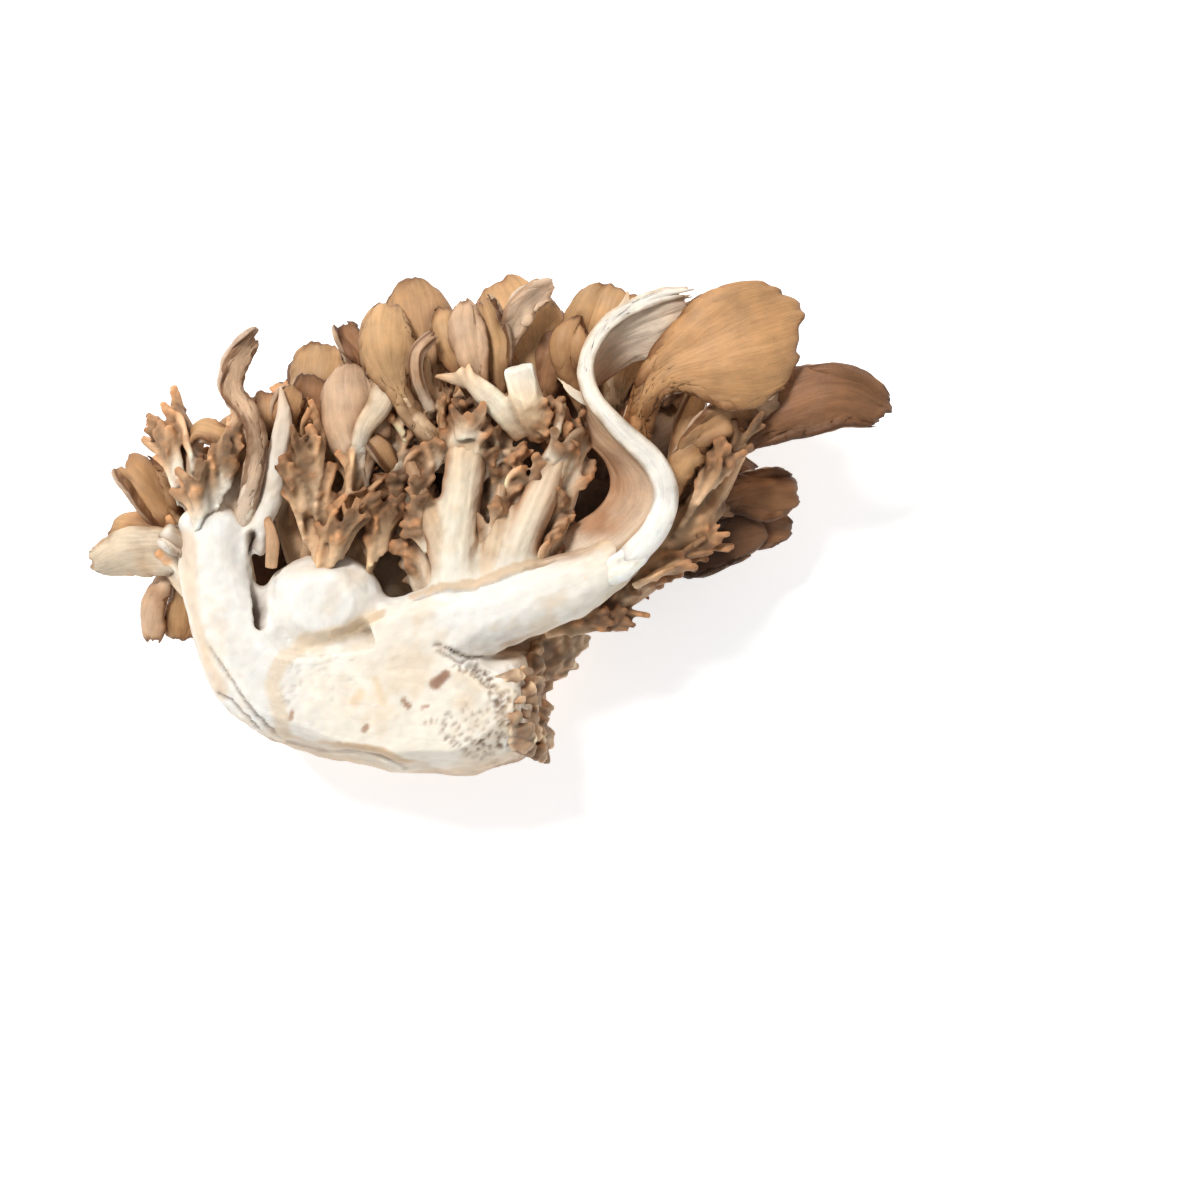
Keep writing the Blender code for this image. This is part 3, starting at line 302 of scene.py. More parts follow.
# Pleats of a cap along its length: how many across it and how deep.
PLEATS = {
    ("middle_spray", 1): (1.5, 0.5), ("crown_caps", 0): (1.0, 0.3), ("crown_caps", 4): (1, 0.2),
    ("crown_caps", 5): (1.5, 0.35), ("crown_caps", 6): (1, 0.3), ("great_cap", 0): (2, 0.12),
    ("crown_caps", 8): (0.5, 0.03), ("right_spray", 0): (1.5, 0.3), ("sickle_frond", 0): (2, 0.3),
    ("left_caps", 4): (2, 0.6), ("left_caps", 5): (2, 0.5), ("left_caps", 6): (2, 0.6),
    ("right_spray", 5): (2, 0.4), ("right_spray", 6): (2, 0.4), ("sickle_frond", 1): (1, 0.02),
    ("top_caps", 0): (1.5, 0.4), ("top_caps", 1): (2, 0.6),
}
USUAL_PLEATS = (1.2, 0.14)
WRINKLE = 0.05
CRUMPLE = 2.2
CRUMPLE_SIZE = (4.5, 5.5, 1)
CRUMPLE_FADE = 2.2
NARROW = 7.0  # a cap this narrow has no crumpled or stained rim
SWELL = 0.45
SWELL_SIZE = (8, 12, 1)
WRINKLE_SIZE = (2.4, 15, 1)
TIP_START = 0.55
CAP_CELL = (0.75, 0.6)  # the mesh size of a cap along it and across it
CAP_ROWS = (22, 90)
CAP_COLUMNS = (18, 56)
MARGIN_DEPTH = 0.45
EDGE_FADE = 1.3
SEED_SHIFT = 13.7  # sets the fibres of one piece apart from those of the next

# The skin of the stems and lobes of each spray: at the roots, on the lobes and at their tips.
SKINS = {
    "left_caps": ((234, 216, 190), (204, 168, 130), (160, 118, 82)),
    "trunk_spray": ((242, 232, 214), (214, 180, 144), (164, 122, 86)),
    "middle_spray": ((200, 168, 134), (206, 170, 132), (150, 108, 74)),
    "crown_caps": ((214, 186, 154), (206, 170, 132), (150, 108, 74)),
    "column_frills": ((240, 226, 204), (214, 182, 148), (144, 104, 72)),
    "right_spray": ((206, 174, 140), (192, 154, 116), (142, 102, 70)),
    "top_caps": ((150, 112, 80), (140, 100, 70), (104, 72, 48)),
    "under_caps": ((226, 204, 176), (164, 124, 90), (124, 88, 62)),
    "sickle_frond": ((240, 232, 218), (226, 204, 178), (200, 168, 138)),
    "great_cap": ((206, 168, 128), (190, 148, 108), (170, 128, 90)),
}

# Tan lines on the cut face: the colour, the half width, how far it fades, how strong, and the line.
STAINS = [
    ((242, 226, 202), 7.0, 7.0, 0.4, [(-8, -10), (-4, -12)]),
    ((232, 210, 180), 1.0, 1.8, 0.7, [(-11, -3.8), (-17.3, -7.4), (-22.9, -8.8), (-28.5, -10.9),
     (-34.1, -15.1), (-36.2, -20.7), (-34.8, -25.6), (-34.1, -29.1), (-34.1, -33.3)]),
    ((206, 178, 146), 0.7, 0.6, 0.7, [(-9, -3.2), (-13, -5.0), (-17.3, -7.2), (-21, -8.4)]),
    ((205, 168, 126), 0.6, 0.9, 0.8,
     [(-33.4, -34.4), (-25.7, -36.1), (-15.9, -36.3), (-8.9, -37.5), (-3.3, -40.6), (1.5, -41.5)]),
    ((150, 112, 80), 0.3, 0.4, 0.7,
     [(-33.4, -35.6), (-25.7, -37.6), (-15.9, -38.0), (-8.9, -39.3), (-3.6, -42.0)]),
    ((238, 204, 156), 0.5, 1.3, 0.5, [(-15.8, -25.0), (-14.4, -23.2)]),
    ((236, 202, 154), 0.3, 1.2, 0.5, [(-10.6, -19.6), (-9.6, -22.6), (-8.6, -25.6)]),
    ((160, 112, 78), 0.5, 0.5, 0.8, [(-13.4, -32.2), (-12.8, -31.4)]),
    ((178, 134, 98), 0.35, 0.5, 0.8, [(-31.2, -27.6), (-31.6, -29.4)]),
    ((160, 112, 78), 0.35, 0.5, 0.8, [(-3.6, -24.8), (-2.4, -26.4)]),
    ((176, 130, 96), 0.3, 0.4, 0.8, [(0.6, -26.6), (2.4, -26.0)]),
    ((150, 104, 76), 0.9, 1.0, 0.9, [(4.2, -20.6), (6.8, -18.6)]),
    ((214, 184, 148), 0.7, 0.6, 0.8, [(-1.9, 1.4), (5.8, 3.5), (14.3, 4.2), (17.8, 5.6), (24.8, 8.4),
     (31.1, 9.8), (34.6, 12.3), (43, 14.4)]),
    ((222, 190, 150), 1.6, 1.8, 0.6, [(34, 13), (46, 16), (54, 15)]),
    ((232, 206, 176), 2.4, 2.4, 0.75,
     [(-58.6, 14), (-58.4, 3.2), (-57.3, -6.7), (-54.5, -16.5), (-51, -22)]),
    ((196, 158, 120), 1.2, 1.4, 0.8, [(22, -12.6), (33, -9.4), (44.4, -4.6), (55, 3)]),
    ((234, 214, 188), 2.0, 3.5, 0.4, [(-30, 9), (-22, 12), (-14, 8)]),
    ((230, 210, 184), 0.8, 2.4, 0.35, [(-22, -2), (-20, 3), (-17, 6)]),
]
# Cracks in the cut face: how deep, how wide, how brown, and the line.
CRACKS = [
    (0.7, 0.35, 0.6, [(-51.7, -12.3), (-47.5, -17.9), (-44, -23.5), (-40.4, -28.4), (-34.8, -34.4)]),
    (0.7, 0.35, 0.6, [(-50.3, -23.5), (-46.8, -24.9), (-42.6, -29.1), (-36.9, -35.4)]),
    (0.6, 0.35, 0.6, [(-48.6, -27.0), (-45.6, -30.6), (-43.2, -31.4)]),
    (5.0, 1.0, 0.9, [(-41.4, 16), (-40.8, 9), (-40.2, 3), (-38.8, -6)]),
    (0.6, 0.5, 0.5, [(-33.4, -35.6), (-25.7, -37.6), (-15.9, -38.0), (-8.9, -39.3), (-3.6, -42.0)]),
    (0.8, 0.4, 0.75, [(4.4, -10.9), (12.2, -14.4), (19.2, -14.4), (24.8, -13.7), (31.1, -14.4)]),
    (0.6, 0.45, 0.75, [(22, -11.9), (28, -10.6), (36, -8.6), (44.4, -4.9)]),
    (0.5, 0.4, 0.5, [(5.0, -12.6), (7.6, -14.2), (10.5, -15.4)]),
    (0.5, 0.35, 0.35, [(-1.0, 0.2), (5.8, 2.2), (14.3, 2.9), (24.8, 7.0), (34, 10.4)]),
]
# Short slits set like rungs along a line: the line, how many, how long, how deep and how brown.
RUNGS = [
    ([(9.4, -16.5), (13, -18), (15.7, -20), (18, -23), (19.2, -25.6), (20.4, -29), (20.6, -31.9)], 26,
     1.3, 0.6, 0.95),
    ([(11.5, -15.5), (16, -18), (19, -22), (21.5, -27), (23, -32)], 24, 1.4, 0.7, 0.95),
    ([(6, -33), (11, -37), (16, -40), (22, -41.5)], 18, 1.5, 0.5, 0.7),
    ([(2, -30), (8, -31), (13, -35), (19, -37)], 14, 1.2, 0.4, 0.6),
]
# Fine pits scattered in an ellipse: its centre and radii, how many, how deep and how brown.
PITS = [
    ((-25, -14.5), (9, 3.2), 30, 0.2, 0.16),
    ((-31.5, -20), (3.0, 6), 18, 0.25, 0.2),
    ((-21, -22), (6, 4), 10, 0.2, 0.15),
    ((14, -30), (8, 7), 30, 0.4, 0.6),
    ((24, -24), (5, 8), 60, 0.9, 1.0),
    ((21, -38), (7, 5), 50, 0.8, 1.0),
]
# Lobes along the sides of the white columns, where the knife ran through them: the line, its radii, how
# many, how long and stout, and how far they lean out.
FRINGES = {
    "trunk_spray": [
        ([(-56.5, 16, 48), (-58.5, 25, 48), (-60, 34, 45)], (3.5, 3.5, 2.5), 22, 1.45, 1.0, 0.45),
        ([(-53, 17, 50), (-54, 26, 50), (-55, 36, 48)], (3.5, 3.5, 2.5), 22, 1.45, 1.0, 0.45),
        ([(-48.5, 17, 50), (-48.5, 27, 50), (-48, 37, 48)], (3.0, 3.0, 2.0), 20, 1.35, 1.0, 0.45),
        ([(-57, 26, 44), (-60, 34, 43), (-62, 42, 40)], (3.5, 3.5, 2.5), 18, 1.2, 1.0, 0.8),
    ],
    "crown_caps": [
        ([(6, 38, 48), (4, 44, 49), (10, 47, 49), (22, 46, 49), (30, 44, 48)], (3, 3.5, 3.5, 3.5, 3), 60,
         1.0, 0.9, 0.8),
        ([(-2, 40, 47), (-6, 46, 46), (-8, 54, 44)], (2.5, 2.5, 2), 14, 1.0, 0.9, 0.7),
    ],
    "column_frills": [
        ([(4, 6, 45), (2, 16, 46.5), (3, 28, 47.5), (6, 38, 48)], (2.5, 2.5, 2.5, 2), 30, 0.9, 0.9, 0.8),
        ([(3, 12, 46), (-1, 24, 48), (-4, 34, 48), (-9, 38, 47)], (2.5, 3, 3, 2), 44, 0.95, 0.9, 0.9),
        ([(14.5, 22, 45), (15.5, 30, 46.5), (16.5, 39, 48)], (2, 2, 2), 14, 0.8, 0.9, 0.7),
        ([(11.5, 36, 51), (12.5, 42, 52)], (4.5, 4.5), 26, 0.8, 1.0, 0.8),
        ([(33, 35, 50), (36, 41, 51)], (4, 3.5), 20, 0.8, 1.0, 0.8),
        ([(17, 8, 45.5), (19, 20, 47), (20.5, 30, 48), (20.5, 38, 48)], (2.5, 2.5, 2.5, 2), 36, 0.95,
         0.85, 0.9),
        ([(22, 10, 45), (24, 20, 46.5), (28, 30, 47.5), (33, 40, 48)], (2.5, 2.5, 2.5, 2), 30, 0.9, 0.85,
         0.8),
        ([(29, 8, 45), (32, 18, 46.5), (37, 29, 47.5), (41, 40, 48)], (2.5, 2.5, 2.5, 2), 34, 0.95, 0.85,
         0.9),
        ([(12, 38, 47), (13, 44, 48)], (5, 5), 26, 0.8, 0.9, 0.9),
    ],
    "middle_spray": [
        ([(-27, 4, 48), (-27, 14, 49), (-29, 26, 49)], (3, 3, 2), 26, 1.5, 0.95, 0.4),
        ([(-22, 6, 48), (-19, 16, 50), (-16, 27, 50)], (3, 3, 2), 26, 1.5, 0.95, 0.4),
        ([(-12, 4, 45), (-10, 12, 46), (-9, 20, 45)], (3, 3, 2), 24, 1.3, 0.9, 0.45),
        ([(-24, 10, 48), (-24, 22, 50), (-26, 36, 49)], (2.5, 2.5, 1.5), 24, 1.5, 0.9, 0.4),
    ],
    "right_spray": [
        ([(52, 4, 46), (62, 12, 47), (70, 22, 47), (76, 34, 47)], (3, 4, 4, 3), 50, 1.4, 0.95, 0.6),
        ([(32, -10, 37), (42, -5, 38), (52, 1, 40)], (3, 3.5, 3.5), 34, 1.2, 0.9, 0.5),
    ],
}
# Stalks and spikes that aren't caps: the line, its radii, its colours and its thickness over its width.
STALKS = {
    "column_frills": [
        ([(10.5, 28, 46), (11.5, 34, 47), (12, 39, 47.8), (12.5, 44, 49)], (3.6, 5.0, 5.9, 4.8),
         [(240, 226, 200), (230, 206, 172), (190, 150, 112)], 0.95),
        ([(30, 26, 48.5), (34, 34, 49.5), (38, 41, 50)], (3.6, 3.3, 2.0),
         [(240, 228, 204), (232, 208, 174), (200, 160, 122)], 0.9),
    ],
    "crown_caps": [
        ([(30, 41, 45), (28, 47, 51), (26.5, 51, 53), (24.8, 57.5, 55)], (3.2, 3.9, 4.1, 3.9),
         [(196, 150, 110), (230, 200, 162), (244, 234, 216)], 0.9),
        ([(26, 42, 46), (21, 47, 51), (15, 52.5, 53.5), (10, 57, 53)], (3.4, 3.6, 3.0, 1.6),
         [(214, 182, 146), (240, 226, 202), (222, 190, 154)], 0.8),
        ([(17, 51, 53), (13.5, 54.5, 55), (12.5, 58.5, 55)], (2.0, 1.5, 0.6),
         [(240, 226, 202), (206, 168, 128)], 0.8),
        ([(12, 54, 52), (8, 55, 53), (4, 55.5, 51)], (1.8, 1.4, 0.6), [(226, 200, 168), (190, 148, 110)],
         0.8),
    ],
    "sickle_frond": [
        ([(44, 4.5, 49), (49, 7.5, 51.6), (54, 11.5, 53.6), (58.5, 17.5, 54.6)], (2.5, 3.8, 3.4, 2.0),
         [(242, 233, 216), (244, 238, 226)], 0.55),
        ([(48.5, 69.5, 57.5), (51, 72.5, 58.8), (52, 76.5, 58)], (1.8, 1.3, 0.4),
         [(240, 230, 212), (196, 156, 118)], 0.8),
        ([(42.5, 49, 57), (38.5, 51, 58), (34.5, 55, 57)], (1.7, 1.1, 0.3),
         [(240, 230, 212), (216, 186, 150)], 0.8),
    ],
    "middle_spray": [
        ([(-37, 8, 47), (-36.5, 15, 49), (-38, 21, 49)], (1.6, 1.9, 1.0),
         [(196, 160, 126), (186, 146, 110)], 0.8),
    ],
}
BARE_STEMS = ("under_caps", "top_caps")  # their stems carry no lobes of their own
LOBES_MORE = 3.6
PALEST = 238
CAP_ROOT = (10, 5)  # a cap's middle line in so many steps, of which its root covers the first points
LOBE_SHADES = (0.80, 0.92, 1.0, 1.05, 1.15, 1.25)
LOBE_TOP = 56.0  # lobes are pressed down above this height
# Painted shade down between the sprays: its colour, the ellipse that it fades out at, and its height.
DEEP_SHADE_BROWN = (64, 42, 30)
DEEP_CENTRE = (12, 16)
DEEP_RADII = (84, 62)
DEEP_HEIGHT = 44
DEEP_SHADE_SHARE = 0.85
# Painted shade in the crevices, from how closely other skin stands round each point.
CREVICE_REACH = 9.0
CREVICE_STEP = 13  # one point in so many is measured
CREVICE_WAYS = 26
CREVICE_START = 0.25
CREVICE_RANGE = (0.12, 0.65)  # where the darkening starts, and how much further it is full
CREVICE_SHADE_TINT = np.array((0.60, 0.70, 0.78))  # how much of each colour a full crevice takes away
SICKLE_DEEP = (182, 138, 104)
SICKLE_PALE = (236, 220, 198)
SICKLE_LINE = (206, 160, 116)
FLESH_TONES = [
    [(243, 239, 231), (243, 239, 231)],
    [(240, 230, 214), (206, 172, 138)],
    [(240, 230, 214), (206, 172, 138)],
    [(243, 239, 231), (242, 238, 230)],
    [(242, 236, 226), (240, 232, 218), (214, 186, 156)],
    [(243, 239, 231), (243, 239, 231), (242, 232, 214)],
    [(243, 238, 228), (243, 234, 216), (241, 228, 204), (226, 198, 164)],
    [(242, 236, 224), (236, 218, 192), (216, 182, 146)],
    [(238, 226, 206), (214, 184, 150), (190, 154, 120)],
    [(238, 226, 206), (214, 184, 150), (180, 142, 108)],
]
COLUMN_SIDES = (176, 132, 98)
FLESH_WHITE = (243, 239, 231)
FLESH_CREAM = (246, 237, 221)
FLESH_AGED = (228, 206, 176)
FLESH_AGED_SHARE = 0.55
FLESH_FIBRE = (1.1, 16, 1)
HIDDEN_MARKS = 0.3  # how much of a mark is left where the flesh isn't cut
SKIN_TAN = (214, 184, 150)
SKIN_BROWN = (150, 108, 78)
SLIT = 0.34
CRACK_BROWN = (108, 72, 46)
BARK_CENTRE = (8, -26)
BARK_ARC = (-0.75, 0.62)
BARK_NEAR = 14
BARK_FAR = 36
BARK_FLAT = 0.85
BARK_LOW = 12
BARK_LUMPS = 420
BARK_SEED = 900
RAY_HEIGHT = 90  # above all of the flesh
BARK = ((232, 214, 188), (166, 124, 92), (206, 178, 146))
# The materials: the noise sizes in bumps to a metre, and the colours they are worked up with.
NOISE_SPAN = (0.3, 0.7)  # most of a noise lies between these
BLOTCH_SCALE = 170
FINE_SCALE = 1400
PORE_SCALE = 1900
BUMP_HEIGHT = 0.0004
WARM = (0.95, 0.86, 0.74)
RIM_BROWN = (0.50, 0.36, 0.25)
PORE_BROWN = (0.35, 0.22, 0.13)
UNDER_SKIN = (1.0, 0.6, 0.35)
UNDER_SKIN_DEPTH = 0.0015
UNDER_SKIN_SHARE = 0.12
SHINE = 0.3

FLOOR_HALF = 3
FLOOR_GREY = (0.92, 0.92, 0.92, 1)
FLOOR_GLOW = 0.6
DUST_SCALE = 60
WHITE_LIGHT = (1, 1, 1, 1)
SUN_WAY = (0.40, -0.55, -1.0)
SUN_STRENGTH = 2.75
SUN_ANGLE = 0.25
SKY = 0.38
CAMERA_PLACE = (0.045, 0.0, 0.878)
CAMERA_LENS = 100
CAMERA_SENSOR = 36


def unit(v):
    v = np.asarray(v, float)
    return v / np.maximum(np.linalg.norm(v, axis=-1, keepdims=True), 1e-12)


def ease(x):
    x = np.clip(x, 0, 1)
    return x * x * (3 - 2 * x)


def linear(colour):
    c = np.array(colour, float) / 255
    return np.where(c <= 0.04045, c / 12.92, ((c + 0.055) / 1.055) ** 2.4)


def toward(tint, colour, share):
    """The colours moved toward another one by this share at each point."""
    return tint + (colour - tint) * share[..., None]


LATTICE_SIDE = 32
LATTICE_SEED = 11
LATTICE = np.random.default_rng(LATTICE_SEED).random((LATTICE_SIDE,) * 3)


def noise(points, size, seed=0):
    """Smooth noise between -1 and 1, with bumps about this size apart."""
    p = np.asarray(points, float) / size + seed * 7.31
    low = np.floor(p).astype(int)
    t = ease(p - low)
    total = np.zeros(p.shape[:-1])
    for corner in np.ndindex(2, 2, 2):
        at = (low + corner) % LATTICE_SIDE
        weight = np.prod(np.where(np.array(corner) == 1, t, 1 - t), axis=-1)
        total += weight * LATTICE[at[..., 0], at[..., 1], at[..., 2]]
    return total * 2 - 1


def rough(points, size, seed=0, octaves=3):
    """Noise with finer noise on it."""
    return sum(noise(points, size / 2**k, seed + k) / 2**k for k in range(octaves)) / 1.6


def curve_through(points, steps):
    """Points spaced evenly on a smooth curve through the given ones, and its length."""
    p = np.array(points, float)
    p = np.vstack([2 * p[0] - p[1], p, 2 * p[-1] - p[-2]])
    t = np.linspace(0, 1, 16, endpoint=False)[:, None]
    pieces = [
        0.5 * (2 * b + (c - a) * t + (2 * a - 5 * b + 4 * c - d) * t**2 + (3 * b - a - 3 * c + d) * t**3)
        for a, b, c, d in zip(p, p[1:], p[2:], p[3:])
    ]
    fine = np.vstack([*pieces, p[-2:-1]])
    run = np.concatenate([[0], np.cumsum(np.linalg.norm(np.diff(fine, axis=0), axis=1))])
    want = np.linspace(0, run[-1], steps + 1)
    return np.stack([np.interp(want, run, fine[:, k]) for k in range(3)], axis=1), run[-1]


def spread(vectors, steps):
    given = np.array(vectors, float).reshape(-1, 3)
    at = np.linspace(0, 1, steps + 1)
    return np.stack([np.interp(at, np.linspace(0, 1, len(given)), given[:, k]) for k in range(3)], axis=1)


def frames_along(points, faces, steps):
    """A curve with its directions, sides and upward normals at each step, and its length."""
    line, length = curve_through(points, steps)
    ahead = unit(np.gradient(line, axis=0))
    side = unit(np.cross(ahead, spread(faces, steps)))
    return line, ahead, side, np.cross(side, ahead), length


def grid_triangles(rows, columns, closed=False):
    """Two triangles for each cell of a grid of points, its last column joined to the first if closed."""
    index = np.arange(rows * columns).reshape(rows, columns)
    if closed:
        index = np.hstack([index, index[:, :1]])
    a, b = index[:-1, :-1], index[1:, :-1]
    c, d = index[1:, 1:], index[:-1, 1:]
    return np.concatenate([np.stack([a, b, c], -1).reshape(-1, 3), np.stack([a, c, d], -1).reshape(-1, 3)])


def ring_triangles(rows, columns):
    """Rings joined one to the next, closed by a point before the first and one after the last."""
    k = np.arange(columns)
    m = (k + 1) % columns
    last_ring = (rows - 1) * columns
    return np.concatenate([
        grid_triangles(rows, columns, closed=True),
        np.stack([np.full(columns, rows * columns), k, m], -1),
        np.stack([np.full(columns, rows * columns + 1), last_ring + m, last_ring + k], -1),
    ])


def part(points, faces, tint, grain, edge=None, pore=None):
    """A surface with its colour, its place along the fibres, its distance from a margin and its pores."""
    points = np.asarray(points, float).reshape(-1, 3)
    n = len(points)
    return {
        "points": points,
        "faces": np.asarray(faces, int).reshape(-1, 3),
        "tint": np.broadcast_to(tint, (n, 3)).astype(float),
        "grain": np.asarray(grain, float).reshape(-1, 3),
        "edge": np.full(n, FAR) if edge is None else np.asarray(edge, float).reshape(-1),
        "pore": np.zeros(n) if pore is None else np.asarray(pore, float).reshape(-1),
    }


def together(parts):
    """Several surfaces as one."""
    offsets = np.cumsum([0] + [len(p["points"]) for p in parts[:-1]])
    keys = ("points", "tint", "grain", "edge", "pore")
    whole = {key: np.concatenate([p[key] for p in parts]) for key in keys}
    whole["faces"] = np.concatenate([p["faces"] + k for p, k in zip(parts, offsets)])
    return whole


def plain_mesh(name, points, faces):
    mesh = bpy.data.meshes.new(name)
    mesh.from_pydata((points * MM).tolist(), [], faces.tolist())
    return mesh


def placed(name, data):
    """A new object in the scene."""
    obj = bpy.data.objects.new(name, data)
    bpy.context.scene.collection.objects.link(obj)
    return obj


def dressed(name, surface, node, look):
    """The surface as a piece of the scene that stands for a node."""
    surface["points"][:, 2] = np.maximum(surface["points"][:, 2], 0)
    mesh = plain_mesh(name, surface["points"], surface["faces"])
    mesh.shade_smooth()
    n = len(surface["points"])
    tint = mesh.attributes.new("tint", "FLOAT_COLOR", "POINT")
    opaque = np.hstack([surface["tint"], np.ones((n, 1))])
    tint.data.foreach_set("color", opaque.astype(np.float32).ravel())
    grain = mesh.attributes.new("grain", "FLOAT_VECTOR", "POINT")
    grain.data.foreach_set("vector", surface["grain"].astype(np.float32).ravel())
    for key in ("edge", "pore"):
        value = mesh.attributes.new(key, "FLOAT", "POINT")
        value.data.foreach_set("value", surface[key].astype(np.float32))
    mesh.materials.append(look)
    obj = placed(name, mesh)
    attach(obj, "root")
    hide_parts(node)


def tube(points, radii, tones, face=UPWARD, flat=1.0, sides=12, steps=16, ribs=(0, 0.0), seed=0.0):
    """A closed stem along a curve, with ribs along it."""
    line, _, side, up, length = frames_along(points, face, steps)
    t = np.linspace(0, 1, steps + 1)[:, None]
    r = np.interp(t[:, 0], np.linspace(0, 1, len(radii)), radii)[:, None]
    turn = np.arange(sides)[None, :] * 2 * math.pi / sides
    count, depth = ribs
    r = r * (1 + depth * np.sin(count * turn + 2.5 * t + seed * 5))
    ring = line[:, None, :] + side[:, None, :] * (r * np.cos(turn))[..., None]
    ring = ring + up[:, None, :] * (r * flat * np.sin(turn))[..., None]
    points = np.concatenate([ring.reshape(-1, 3), line[:1], line[-1:]])
    along = np.concatenate([np.repeat(t[:, 0], sides), [0, 1]])
    round_it = np.concatenate([np.tile(np.minimum(turn[0], 2 * math.pi - turn[0]), steps + 1), [0, 0]])
    shades = np.stack([linear(tone) for tone in tones])
    at = np.linspace(0, 1, len(shades))
    tint = np.stack([np.interp(along, at, shades[:, c]) for c in range(3)], axis=1)
    width = np.mean(radii)
    grain = np.stack([round_it * width, along * length, np.full(len(along), seed * SEED_SHIFT)], axis=1)
    return part(points, ring_triangles(steps + 1, sides), tint, grain)


def ball(centre, radii, tone, seed):
    """A lump of flesh."""
    rows, columns = 24, 32
    down = np.linspace(0.02, math.pi - 0.02, rows)[:, None]
    turn = np.arange(columns)[None, :] * 2 * math.pi / columns
    level = np.sin(down)
    unit_ball = np.stack([level * np.cos(turn), level * np.sin(turn), np.cos(down) + 0 * turn], -1)
    points = np.concatenate([unit_ball.reshape(-1, 3), [[0, 0, 1], [0, 0, -1]]]) * radii + centre
    grain = np.stack([points[:, 0], points[:, 1], np.full(len(points), seed * SEED_SHIFT)], axis=1)
    return part(points, ring_triangles(rows, columns), linear(tone), grain)


def blade_depth(spec, u, v, grow):
    """How thick a cap is: full along its middle and thin at its margin."""
    if spec["widths"]:
        at_cut = 1.2 + 1.6 * (1 - ease(v / 0.4))
        return at_cut * np.sqrt(np.clip(1 - u**14, 0.02, 1)) * (1 - 0.6 * v**8)
    body = np.sqrt(np.clip(1 - np.abs(v) ** (2 + 6 * grow), 0, 1)) * np.sqrt(np.clip(1 - u**12, 0, 1))
    root = spec["stalk"] * 0.7
    full = root + (spec["thick"] - root) * ease(u / 0.6)
    return MARGIN_DEPTH + np.maximum(full - MARGIN_DEPTH, 0) * body


